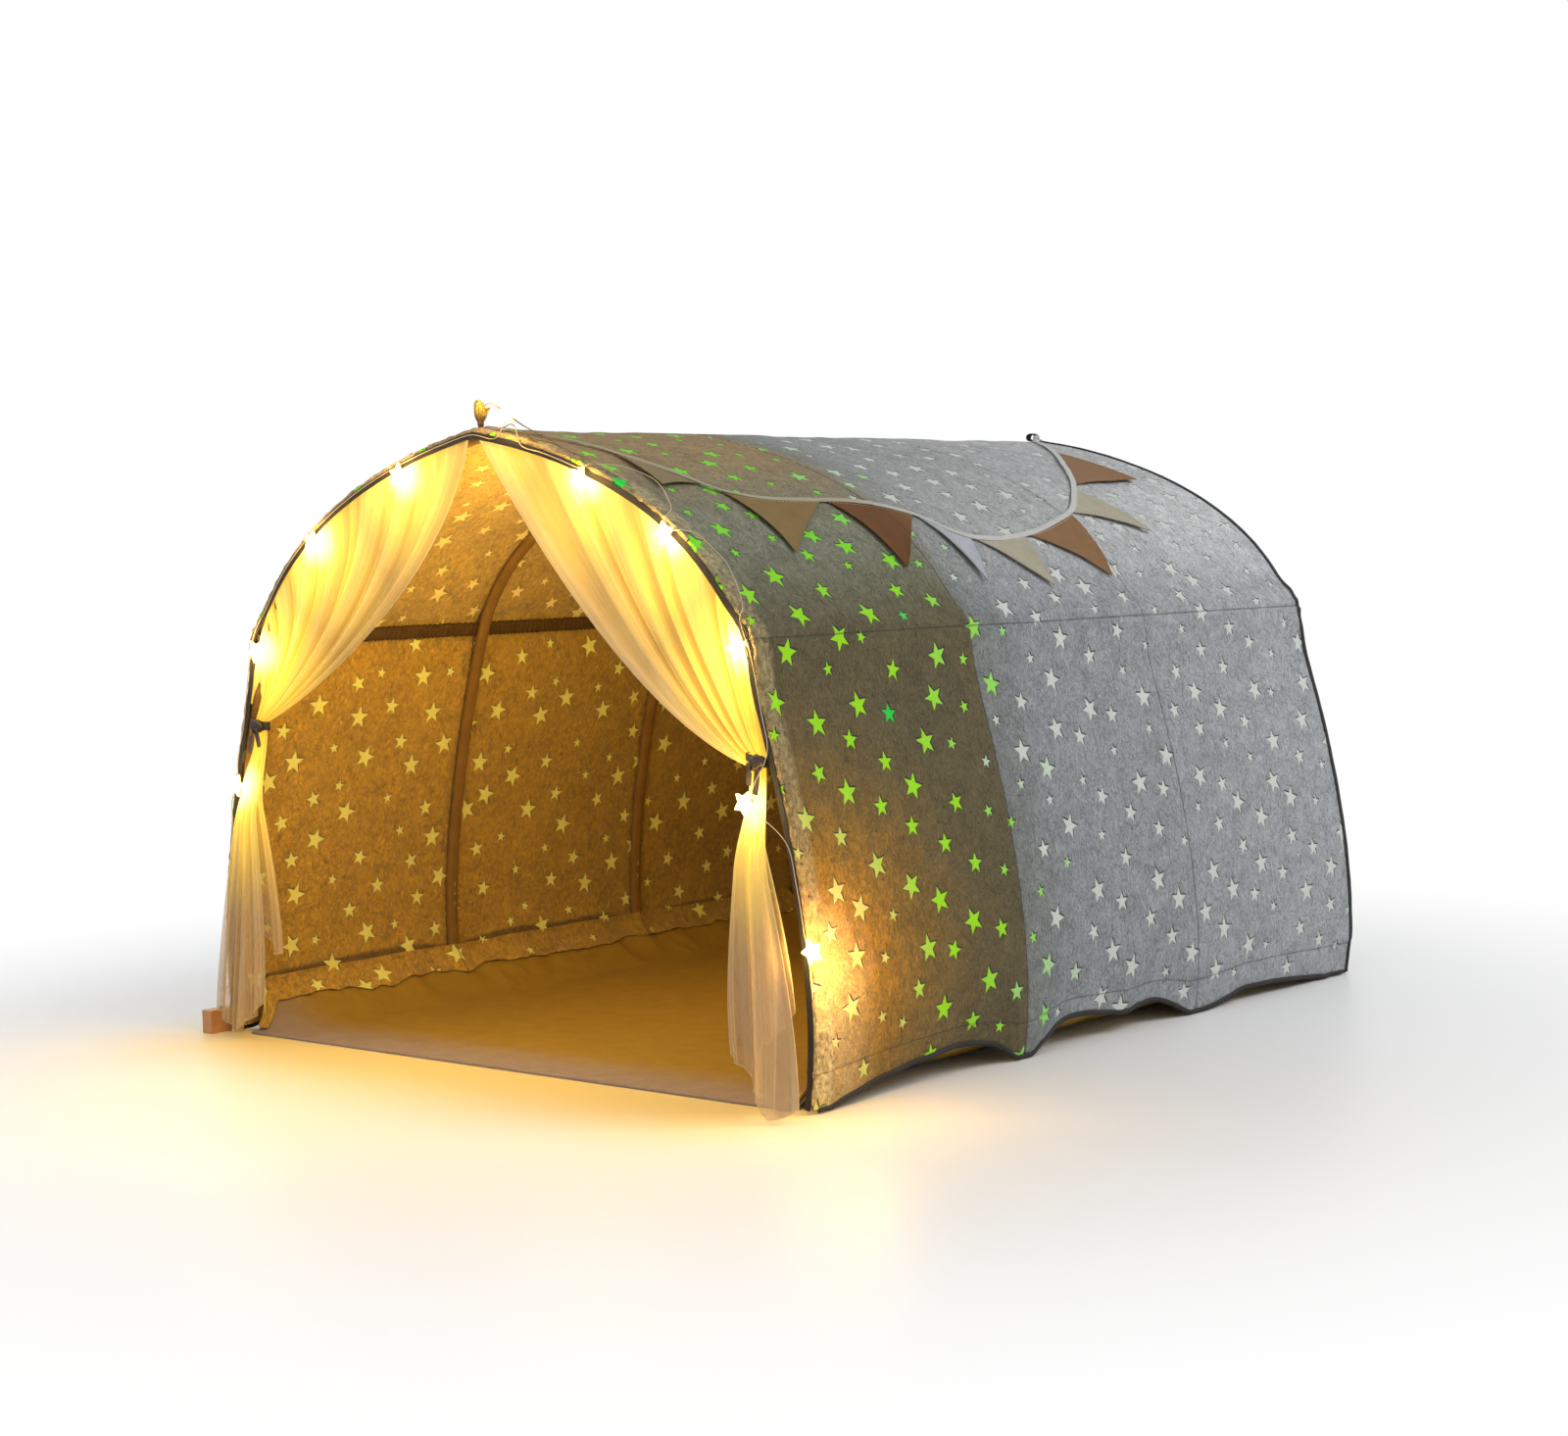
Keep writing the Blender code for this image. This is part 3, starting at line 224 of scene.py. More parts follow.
def swell(place, y):
    """How far the cloth stands off the outline: over the eave poles, slack in the bays, puckered at seams."""
    side_arc = arc(place)
    from_ridge = np.abs(side_arc)
    below_eave = from_ridge - EAVE_ARC
    above_hem = arc(place_at_height(HEM_HEIGHT + hem_rise(y))) - from_ridge
    middle = bay_middle(y)
    lift = EAVE_SWELL * hump(below_eave, np.where(below_eave > 0, 0.040, 0.030))
    lift = lift - 0.0050 * middle * np.abs(np.sin(np.pi * place))
    lift = lift + 0.0016 * (0.15 + 0.85 * middle) * noise(side_arc, y, 0.085, 3)
    lift = lift + 0.0007 * (0.2 + 0.8 * middle) * noise(side_arc, y, 0.030, 4)
    lift = lift + 0.0030 * middle * noise(y, side_arc * 0.2, 0.050, 5) * hump(above_hem, 0.09)
    lift = lift + 0.0011 * noise(side_arc, y, 0.017, 8) * hump(above_hem - 0.03, 0.045) * middle
    rear_end = smooth_step((y - 0.44) / 0.08)
    lift = lift + 0.0022 * noise(side_arc, y, 0.021, 9) * hump(above_hem, 0.08) * rear_end
    for number, hoop in enumerate(HOOP_Y):
        across = y - hoop
        reach = np.hypot(across, below_eave)
        turn = np.arctan2(across, below_eave)
        lift = lift + 0.0016 * np.cos(9 * turn + number) * np.exp(-reach / 0.07) * np.clip(reach / 0.03, 0, 1)
        if number in (1, 2):
            lift = lift - 0.0010 * hump(across, 0.0018)
            lift = lift + 0.0005 * np.sin(2 * np.pi * side_arc / 0.013) * hump(across, 0.008)
    eave_seam = below_eave - 0.004
    gather = np.sin(2 * np.pi * y / 0.012 + 4 * noise(y, side_arc, 0.05, 6))
    lift = lift + 0.0005 * gather * hump(eave_seam, 0.010) - 0.0010 * hump(eave_seam, 0.0018)
    channel = above_hem + SEAM_DIP * hem_rise(y) - SEAM_ABOVE_HEM
    gather = np.sin(2 * np.pi * y / 0.014 + 5 * noise(y, 0 * side_arc, 0.04, 7))
    return lift + 0.0008 * gather * hump(channel, 0.010) - 0.0011 * hump(channel, 0.0018)


# %% [markdown]
# ## Points on the canopy
# Everything that touches the cloth, such as tapes, pennants and the wire, has to lie on the same surface.
# So one function turns a place on the outline and a distance along the tent into a point on the cloth.

# %% The canopy's surface
def skin(place, y, lift=0.0):
    """Points on the outside of the canopy at signed places, or lift metres above it."""
    place, y = np.broadcast_arrays(np.asarray(place, float), np.asarray(y, float))
    point, normal = outline(np.abs(place))
    raised = lift + swell(place, y)
    rise = hem_rise(y)
    above_hem = arc(place_at_height(HEM_HEIGHT + rise)) - np.abs(arc(place))
    x = point[..., 0] + raised * normal[..., 0] - HEM_TUCK * rise * hump(above_hem, 0.055)
    z = point[..., 1] + raised * normal[..., 1]
    return np.stack([np.where(place < 0, -x, x), y, z], -1)


# %% [markdown]
# ## Places of the lamps
# Ten star lamps hang along the front arch. Their places are given along the arch and not as points in
# space, so they keep to it if the outline changes.

# %% Lamp places
# Side, place (0 at the foot, 1 at the eave, 2 at the ridge), lift, distance behind the front edge
STARS = [
    (-1, 0.665, -0.029, -0.0215), (-1, 0.980, -0.020, -0.0071), (-1, 1.435, -0.017, -0.0071),
    (-1, 1.785, -0.018, -0.0071), (1, 1.900, 0.032, -0.0071), (1, 1.685, -0.015, -0.0071),
    (1, 1.395, -0.012, -0.0071), (1, 0.985, -0.020, -0.0071), (1, 0.685, -0.040, -0.0215),
    (1, 0.375, 0.008, -0.0071),
]
print(len(STARS), "star lamps")


def front_point(side, u, lift, behind):
    """A point by the canopy's front edge. u is 0 at the foot, 1 at the eave and 2 at the ridge."""
    point, normal = outline(2 - u)
    if u >= 2:
        normal = np.array([0.0, 1 / math.cos(RIDGE_PITCH)])
    point = point + (lift + CAD_EAVE_SWELL * np.interp(u, [0.8, 1.0, 1.125], [0, 1, 0])) * normal
    return np.array([side * point[0], FRONT_Y + behind, point[1]])


# %% [markdown]
# ## Camera
# The photograph was taken from the right of the mouth, at about the eaves' height and looking slightly
# down. Three angles and a place describe that. They could be set as rotations, but a matrix built from
# them leaves no doubt about the order of turns.

# %% Camera
def camera():
    yaw, pitch, roll = math.radians(40.874), math.radians(3.315), math.radians(-1.652)
    ahead = np.array([-math.sin(yaw) * math.cos(pitch), math.cos(yaw) * math.cos(pitch), -math.sin(pitch)])
    right = np.array([math.cos(yaw), math.sin(yaw), 0.0])
    up = np.cross(right, ahead)
    turned = right * math.cos(roll) + up * math.sin(roll)
    upright = up * math.cos(roll) - right * math.sin(roll)
    data = bpy.data.cameras.new("camera")
    data.lens, data.sensor_width, data.clip_start = 63.0, 36.0, 0.05
    thing = bpy.data.objects.new("camera", data)
    bpy.context.scene.collection.objects.link(thing)
    matrix = np.eye(4)
    matrix[:3, 0], matrix[:3, 1], matrix[:3, 2] = turned, upright, -ahead
    matrix[:3, 3] = (2.3618, -2.7588, 0.5899)
    thing.matrix_world = Matrix(matrix.tolist())
    bpy.context.scene.camera = thing
    print("camera at", *np.round(matrix[:3, 3], 3))


camera()


# %% [markdown]
# ## Shader maths
# Materials are graphs of nodes. Drawn by hand they get large, and each sum takes a node. This small class
# lets the usual signs for sums and products add those nodes, so that a material reads as a formula.

# %% A node's output that can be added and multiplied
class Value:
    """A node's output that takes part in sums and products."""

    def __init__(self, shader, socket):
        self.shader, self.socket = shader, socket

    def __add__(self, other):
        return self.shader.math("ADD", self, other)

    def __sub__(self, other):
        return self.shader.math("SUBTRACT", self, other)

    def __rsub__(self, other):
        return self.shader.math("SUBTRACT", other, self)

    def __mul__(self, other):
        return self.shader.math("MULTIPLY", self, other)

    def __truediv__(self, other):
        return self.shader.math("DIVIDE", self, other)

    def __abs__(self):
        return self.shader.math("ABSOLUTE", self)

    __radd__, __rmul__ = __add__, __mul__


# %% [markdown]
# ## Short ways to add nodes
# Each material below starts with the standard surface shader. Patterns are measured in metres on the map
# named cloth, which every piece gets with its mesh, so a thread is as wide on a tape as on a panel.

# %% One material and its nodes
class Shader:
    """One material, with short ways to add its nodes."""

    def __init__(self, name, roughness=0.9, **constants):
        self.material = bpy.data.materials.new(name)
        self.material.use_nodes = True
        self.tree = self.material.node_tree
        self.surface = self.tree.nodes["Principled BSDF"]
        self.surface.inputs["Roughness"].default_value = roughness
        for key, value in constants.items():
            self.surface.inputs[key.replace("_", " ").title().replace("Ior", "IOR")].default_value = value

    def join(self, socket, value):
        if isinstance(value, Value):
            self.tree.links.new(value.socket, socket)
        elif hasattr(socket, "default_value"):
            socket.default_value = value

    def node(self, kind, values=(), out=0, **settings):
        node = self.tree.nodes.new("ShaderNode" + kind)
        for key, value in settings.items():
            setattr(node, key, value)
        for key, value in dict(values).items():
            self.join(node.inputs[key], value)
        return Value(self, node.outputs[out])

    def math(self, operation, *values):
        return self.node("Math", enumerate(values), operation=operation)

    def cloth(self, layer="cloth"):
        """The map in metres, as its vector and its two coordinates."""
        vector = self.node("UVMap", uv_map=layer)
        return vector, self.part(vector, 0), self.part(vector, 1)

    def place(self):
        """The place on the object in metres, as a vector and its three coordinates."""
        vector = self.node("TexCoord", out=3)
        return vector, self.part(vector, 0), self.part(vector, 1), self.part(vector, 2)

    def part(self, vector, number):
        return self.node("SeparateXYZ", {0: vector}, out=number)

    def noise(self, vector, size, detail=3.0, rough=0.55, twist=0.0):
        return self.node("TexNoise", {"Vector": vector, "Scale": 1 / size, "Detail": detail,
                                      "Roughness": rough, "Distortion": twist})

    def cells(self, vector, size, **settings):
        return self.node("TexVoronoi", {"Vector": vector, "Scale": 1 / size}, **settings)

    def ramp(self, value, low, high):
        """0 up to low, 1 from high, and smooth between."""
        return self.node("MapRange", {0: value, 1: low, 2: high}, interpolation_type="SMOOTHSTEP")

    def line(self, value, width):
        """1 where the value is 0, and 0 from this width on."""
        return 1 - self.ramp(abs(value), 0.0, width)

    def mix(self, share, a, b, blend="MIX"):
        a, b = (value if isinstance(value, Value) else (*value, 1.0) for value in (a, b))
        return self.node("Mix", {0: share, 6: a, 7: b}, out=2, data_type="RGBA", blend_type=blend)

    def grey(self, value):
        return self.node("CombineColor", {0: value, 1: value, 2: value})

    def shade(self, colour, value):
        return self.mix(1.0, colour, self.grey(value), "MULTIPLY")

    def stretched(self, vector, *scale):
        return self.node("Mapping", {0: vector, 3: scale})

    def from_lowest_lamp(self):
        """Distance from the lamp that hangs lowest on the right leg."""
        return self.node("VectorMath", {0: self.place()[0], 1: LOWEST_LAMP}, out=1, operation="DISTANCE")

    def finish(self, colour, height=None, distance=0.001, strength=1.0, **varied):
        self.join(self.surface.inputs["Base Color"], colour)
        if height is not None:
            normal = self.node("Bump", {"Height": height, "Distance": distance, "Strength": strength})
            self.join(self.surface.inputs["Normal"], normal)
        for key, value in varied.items():
            self.join(self.surface.inputs[key.replace("_", " ").title()], value)
        print(f"{self.material.name}: {len(self.tree.nodes)} nodes")
        return self.material


# %% [markdown]
# ## Printed stars
# The fleece is printed with five-pointed stars in three sizes. A picture of the print could be wrapped around
# it, but it would blur close up. Here a pattern of cells places the stars, and a formula for the distance to
# a star's edge draws each one. The print is pressed in, and a second, dark star a little aside of each is the
# painted shadow along the upper edges of the pressed-in star.

# %% Stars in a pattern of cells
def printed_stars(shader, vector, across, upright):
    """The nearest printed star: depth inside it, depth inside its shifted copy for the painted shadow, and a
    random share.
    """
    cell, turn = 0.057, math.radians(27)
    turned = shader.node("Mapping", {0: vector, 2: (0, 0, turn), 3: (1 / cell, 1 / cell, 0)})
    nearest = {"Vector": turned, "Scale": 1.0, "Randomness": 0.42}
    centre = shader.node("TexVoronoi", nearest, out=2, voronoi_dimensions="2D")
    chance = shader.node("TexVoronoi", nearest, out=1, voronoi_dimensions="2D")
    offset = shader.node("VectorMath", {0: turned, 1: centre}, operation="SUBTRACT")
    offset = shader.node("Mapping", {0: offset, 2: (0, 0, -turn), 3: (1, 1, 0)})
    first, second = shader.part(offset, 0) * cell, shader.part(offset, 1) * cell
    if upright:
        up, aside = second, first
    else:
        up, aside = first * shader.math("SIGN", across) * -1, second
    size, angle, tone = (shader.part(chance, number) for number in range(3))
    radius = 0.0170 - shader.math("LESS_THAN", size, 0.62) * 0.0038
    radius = radius - shader.math("LESS_THAN", size, 0.34) * 0.0044
    turned_by = (angle - 0.5) * 0.8 + math.pi / 5

    def depth(up, aside, radius):
        point = shader.math("FLOORED_MODULO", shader.math("ARCTAN2", aside, up) + turned_by, 2 * math.pi / 5)
        point = abs(point - math.pi / 5)
        away = shader.math("SQRT", up * up + aside * aside)
        run = (away * shader.math("COSINE", point) - radius) * 0.3505
        return -1 * (run + away * shader.math("SINE", point) * 0.9366)

    fluff = (shader.noise(vector, 0.0022, 2.0) - 0.5) * 0.0016
    inside = depth(up, aside, radius) + fluff
    # A copy shifted up and aside: painted shadow along the upper edge of the pressed-in star.
    shadow_star = depth(up - 0.0014, aside - 0.0013, radius) + fluff
    return inside, shadow_star, tone


# %% [markdown]
# ## Brushed pile
# Fleece has a short pile that lies in swirls and parts here and there. Real hairs would need millions of
# strands, so several sizes of noise shape its height and tone. They work as bumps and as colour.

# %% Height and tone of the pile
def pile(shader, vector, curl):
    """Height and tone of brushed pile, which is curlier where curl is 1."""
    swirl = shader.noise(vector, 0.045, 2.0, 0.5, 1.2)
    nap = shader.noise(shader.stretched(vector, 0.5, 1.0, 1.0), 0.0050, 4.0, 0.68, 2.2)
    tuft = shader.noise(vector, 0.0016, 2.0, 0.6)
    parting = shader.noise(shader.stretched(vector, 0.6, 1.0, 1.0), 0.016, 3.0, 0.6, 3.0)
    parting = 1 - shader.ramp(abs(parting - 0.5), 0.0, 0.035)
    knots = shader.cells(vector, 0.0058, out=0, feature="SMOOTH_F1")
    height = nap * 0.9 + tuft * 0.4 + swirl * 0.5 - parting * 0.35
    height = height + curl * (1 - knots) * 1.3
    cloud = shader.noise(shader.stretched(vector, 1.0, 0.6, 1.0), 0.028, 3.0, 0.6, 1.5)
    tone = 0.97 + (swirl - 0.5) * 0.45 + (cloud - 0.5) * 0.50 + (nap - 0.5) * 1.75 + (tuft - 0.5) * 0.50
    return height, tone - parting * 0.28 - curl * (knots * 0.9 - 0.36)


# %% [markdown]
# ## Seams
# Dark thin lines mark the seams over the hoops, along the eaves and above the hem. Thread could be
# modelled, but only a dark line shows of it at this size. The lines are drawn by distance on the cloth's
# map, and the puckers beside them are in the mesh.

# %% Lines of thread
def seams(shader, across, along_y):
    """Thin dark lines at the two inner hoops and the eaves, and the hem channel's stitches."""
    from_ridge = abs(across)
    above_seam = shader.node("Attribute", out=2, attribute_name="above_seam")
    line = shader.line(along_y - HOOP_Y[1], 0.0016)
    line = shader.math("MAXIMUM", line, shader.line(along_y - HOOP_Y[2], 0.0016))
    line = shader.math("MAXIMUM", line, shader.line(from_ridge - (EAVE_ARC + 0.004), 0.0015) * 0.9)
    stitch = shader.ramp(shader.math("SINE", along_y * (2 * math.pi / 0.0044)), -0.5, 0.1)
    hem = shader.line(above_seam, 0.0014) * (0.45 + stitch * 0.55)
    return shader.math("MAXIMUM", line, hem), above_seam


# %% [markdown]
# ## Outside of the fleece
# By day the cloth is blue-grey with pale stars. The front bay is lit from inside, so its fleece looks olive
# and its stars green, and the lowest lamp paints a warm patch on it. Lamps alone would not reach through a
# closed mesh, so these tints are part of the colour.
# These tints are painted light: the olive bay, its stars' green glow and the lamp's warm patch. The grey
# behind the bay is painted lighter towards the rear and darker towards the ridge and just behind the seam, as
# painted light and shade.

# %% Grey, olive and lit fleece
def fleece(name="fleece_outside", rear=False):
    """Brushed grey fleece printed with stars, darker and greener towards the lit front bay, where lamplight
    and glow are painted into the colour.
    """
    shader = Shader(name, roughness=0.95, ior=1.3, sheen_weight=0.08, sheen_roughness=0.6)
    vector, across, along_y = shader.cloth()
    inside, shadow_star, tone = printed_stars(shader, vector, across, rear)
    star = shader.ramp(inside, -0.0001, 0.0004)
    # Painted shadow: a shifted copy of each star marks the shade along the upper edge of the pressed-in
    # print.
    recess_shadow = shader.ramp(shadow_star, -0.0003, 0.0003)
    if rear:
        curl = 0.0
        grey, paint = (0.30, 0.315, 0.330), (0.66, 0.69, 0.67)
        line = 0.0
    else:
        from_front = along_y - FRONT_Y
        curl = 1 - shader.ramp(from_front + shader.noise(vector, 0.02) * 0.01, 0.024, 0.036)
        wander = (shader.noise(vector, 0.006) - 0.5) * 0.004
        on_roof = 1 - shader.ramp(abs(across), EAVE_ARC - 0.16, EAVE_ARC + 0.03)
        to_ridge = 1 - shader.ramp(abs(across), 0.10, 0.38)
        softness = 0.004 + on_roof * 0.035
        front = 1 - shader.ramp((along_y + wander - HOOP_Y[1]) / softness, -0.5, 1.0)
        # Painted lamplight: the lowest lamp's warm, mottled patch, palest at its hot middle, on fleece and
        # stars.
        from_lamp = shader.from_lowest_lamp() + (shader.noise(vector, 0.03, 3.0) - 0.5) * 0.09
        low_glow = 1 - shader.ramp(from_lamp, 0.03, 0.36)
        hot = 1 - shader.ramp(from_lamp, 0.00, 0.115)
        # Painted light and shade on the grey: lighter towards the rear, darker just behind the seam and
        # towards the ridge.
        behind_seam = shader.ramp(along_y, HOOP_Y[1], HOOP_Y[1] + 0.13)
        aft = shader.ramp(along_y, HOOP_Y[1] + 0.05, REAR_Y)
        wall = shader.mix(aft, (0.300, 0.318, 0.334), (0.395, 0.413, 0.430))
        wall = shader.mix(behind_seam, (0.215, 0.228, 0.220), wall)
        roof = shader.mix(aft, (0.410, 0.418, 0.420), (0.640, 0.650, 0.660))
        roof = shader.shade(roof, 1 - to_ridge * 0.20)
        seam_roof = shader.mix(to_ridge, (0.320, 0.325, 0.310), (0.215, 0.215, 0.175))
        roof = shader.mix(behind_seam, seam_roof, roof)
        grey = shader.mix(on_roof, wall, roof)
        # Painted lamplight from inside: the front bay olive, warmer towards the ridge.
        olive = shader.mix(on_roof, (0.126, 0.102, 0.046), (0.232, 0.240, 0.166))
        olive = shader.mix(to_ridge, olive, (0.350, 0.235, 0.102))
        grey = shader.mix(front, grey, olive)
        grey = shader.mix(low_glow * front * 0.9, grey, (0.230, 0.125, 0.003))
        mottled = shader.ramp(shader.noise(vector, 0.012, 4.0, 0.65, 1.0), 0.42, 0.62)
        grey = shader.mix(low_glow * low_glow * (0.4 + mottled * 0.6), grey, (0.520, 0.244, 0.012))
        grey = shader.mix(hot * 0.8, grey, (0.560, 0.410, 0.230))
        # Painted lamplight in beige on the curly front strip, strongest at the feet, and on the walls' lower
        # front corners.
        foot = shader.ramp(abs(across), EAVE_ARC + 0.30, EAVE_ARC + 0.40)
        beige = curl * (0.45 + foot * 0.5) + foot * (1 - shader.ramp(from_front, 0.04, 0.12)) * 0.55
        grey = shader.mix(shader.math("MINIMUM", beige, 0.95), grey, (0.620, 0.480, 0.230))
        # Painted glow: the stars are green in the front bay and turn through mint to their own pale tone
        # behind the seam; near the lowest lamp its painted warm light tints them.
        far = shader.ramp(along_y + (tone - 0.5) * 0.10, HOOP_Y[1] - 0.11, HOOP_Y[1] + 0.05)
        mint = shader.ramp(along_y + (tone - 0.5) * 0.16, HOOP_Y[1] - 0.02, HOOP_Y[1] + 0.10)
        green = shader.mix(on_roof, (0.340, 0.800, 0.006), (0.210, 0.740, 0.022))
        green = shader.mix(shader.math("GREATER_THAN", tone, 0.93), green, (0.010, 0.720, 0.060))
        paint = shader.mix(far, green, (0.310, 0.720, 0.200))
        paint = shader.mix(mint, paint, (0.640, 0.680, 0.630))
        paint = shader.mix(shader.ramp(low_glow, 0.30, 0.85) * front, paint, (0.66, 0.62, 0.16))
        paint = shader.mix(hot, paint, (0.95, 0.82, 0.48))
        line, _ = seams(shader, across, along_y)
    height, shade = pile(shader, vector, curl)
    flat = 0.93 + (height - 0.8) * 0.10
    colour = shader.shade(grey, shade)
    # Painted shadow in the stars' recesses.
    colour = shader.mix(recess_shadow * 0.85, colour, (0.034, 0.030, 0.026))
    colour = shader.mix(star, colour, shader.shade(paint, flat))
    colour = shader.mix(line * 0.58, colour, (0.050, 0.046, 0.042))
    sunk = shader.math("MAXIMUM", star, recess_shadow)
    relief = height * (1 - star * 0.75) - sunk * 1.1 - line * 0.9
    return shader.finish(colour, relief, 0.0015, 0.9)


# %% [markdown]
# ## Inside of the fleece
# The inside shows the same print on golden brown cloth. Its golden tones are partly painted lamplight, its
# darkening towards the rear is painted shade, and a dark band low on the walls is painted shade above the
# fold of the floor sheet. It could be a sheet of its own, but a second material on the inner faces needs no
# gap between them. Only its colours differ.

# %% Golden lining
def lining(name="fleece_inside", rear=False):
    """The golden brown inside of the fleece with the same print."""
    shader = Shader(name, roughness=0.95, sheen_weight=0.2, sheen_roughness=0.6)
    vector, across, along_y = shader.cloth()
    inside, shadow_star, _ = printed_stars(shader, vector, across, rear)
    star = shader.ramp(inside, -0.0002, 0.0005)
    recess_shadow = shader.ramp(shadow_star, -0.0003, 0.0004)
    curl = 0.35 + shader.ramp(shader.noise(vector, 0.05), 0.3, 0.7) * 0.5
    height, shade = pile(shader, vector, curl)
    if rear:
        # Painted lamplight and shade: the rear panel's inside is golden and darker, deep in the tent.
        cloth, paint = (0.300, 0.165, 0.018), (0.60, 0.62, 0.18)
        line = 0.0
    else:
        on_roof = 1 - shader.ramp(abs(across), EAVE_ARC - 0.02, EAVE_ARC)
        # Golden cloth and yellow stars, partly painted lamplight.
        cloth = shader.mix(on_roof, (0.470, 0.280, 0.028), (0.500, 0.320, 0.060))
        # Painted shade: darker towards the rear, away from the lamps.
        cloth = shader.mix(shader.ramp(along_y, -0.35, 0.35) * 0.7, cloth, (0.300, 0.190, 0.014))
        paint = shader.mix(on_roof, (0.790, 0.800, 0.230), (0.900, 0.740, 0.270))
        line, above_seam = seams(shader, across, along_y)
        # Painted shade: a dark band low on the wall, above the fold of the floor sheet.
        low = 1 - shader.ramp(abs(above_seam - 0.016), 0.002, 0.009)
        cloth = shader.mix(low * 0.8, cloth, (0.070, 0.036, 0.003))
    colour = shader.shade(cloth, shade)
    # Painted shadow in the stars' recesses.
    colour = shader.mix(recess_shadow * 0.5, colour, (0.09, 0.05, 0.014))
    colour = shader.mix(star, colour, shader.shade(paint, 0.94 + (height - 0.8) * 0.08))
    colour = shader.mix(line * 0.7, colour, (0.05, 0.025, 0.008))
    relief = height * (1 - star * 0.7) - star * 0.8 - line * 0.9
    return shader.finish(colour, relief, 0.0014, 0.9)


# %% [markdown]
# ## Woven tape and cloth
# Bindings, sleeves, ribbons and the floor sheet are plain weaves. Single threads would need far too many
# faces, so two crossed sine waves make them as a bump. Noise makes them uneven, and dashes along a line
# make the stitches.

# %% Plain weave with stitches
def warmed(shader, colour, warm, start, end, axis=1):
    """A colour that turns into the given front colour towards the tent's mouth: painted lamplight and shade
    that change along the tent.
    """
    return shader.mix(shader.ramp(shader.place()[axis + 1], start, end), warm, colour)


def woven(name, colour, thread, depth, stitches, spread, roughness=0.8, thread_tone=1.8, front=None):
    """Plain weave with uneven threads, and stitched lines at these distances across the piece."""
    shader = Shader(name, roughness=roughness)
    vector, along_piece, across = shader.cloth()
    warp = shader.math("SINE", along_piece * (2 * math.pi / thread))
    weft = shader.math("SINE", across * (2 * math.pi / thread))
    weave = warp * weft * 0.5 + 0.5
    slub = shader.noise(shader.stretched(vector, 0.15, 1.0, 1.0), thread * 3, 2.0)
    worn = shader.noise(vector, 0.03, 4.0)
    tone = 1 - spread / 2 + (worn - 0.5) * spread * 1.4 + (slub - 0.5) * spread + weave * spread * 0.5
    # Where front is given, painted lamplight changes the colour towards the mouth.
    painted = shader.shade(warmed(shader, colour, *front) if front else colour, tone)
    height = weave * 0.6 + slub * 0.6
    for at in stitches:
        dash = shader.ramp(shader.math("SINE", along_piece * (2 * math.pi / 0.0042)), -0.35, 0.0)
        row = shader.line(across - at, 0.0007)
        stitched = tuple(min(1.0, part * thread_tone + 0.02) for part in colour)
        painted = shader.mix(row * dash, painted, stitched)
        painted = shader.mix(row * (1 - dash) * 0.6, painted, tuple(part * 0.4 for part in colour))
        height = height + row * (dash * 1.6 - 0.9)
    return shader.finish(painted, height, depth, 0.8)


# %% [markdown]
# ## Felt
# The pennants are cut from pressed felt: no threads, only matted fibres and a sewn line near the top.
# A picture of felt would repeat from one to the next. Fine twisted noise looks like fibres and doesn't.

# %% Pressed felt
def felt(name, colour):
    """Pressed felt: matted fibres and a stitched line below the tape."""
    shader = Shader(name, roughness=0.95, ior=1.3, sheen_weight=0.05)
    vector, along_piece, down = shader.cloth()
    fibres = shader.noise(vector, 0.0016, 5.0, 0.7, 2.0)
    cloud = shader.noise(vector, 0.022, 3.0)
    dash = shader.ramp(shader.math("SINE", along_piece * (2 * math.pi / 0.0046)), -0.3, 0.1)
    row = shader.line(down - 0.0055, 0.0007)
    # Painted lamplight and shade: the pennants over the front bay are darker and warmer.
    warm = tuple(part * share for part, share in zip(colour, (0.56, 0.40, 0.17)))
    painted = warmed(shader, colour, warm, -0.20, -0.08)
    painted = shader.shade(painted, 0.86 + (fibres - 0.5) * 0.45 + (cloud - 0.5) * 0.35)
    painted = shader.mix(row * dash * 0.8, painted, (0.80, 0.78, 0.72))
    return shader.finish(painted, fibres * 0.9 - row * (1 - dash) * 0.5, 0.0006, 0.8)


# %% [markdown]
# ## Net
# The curtains are fine net. Modelling its holes would take too many faces, so the shader makes it partly
# see-through: least in the hollows of pleats and at the hems, most below the ties. Its colour is painted
# lighter on the pleats' crests than in their hollows, and golden above the ties, as painted light and shade.
# A little light of its own stands for the glow that the lamps give it.

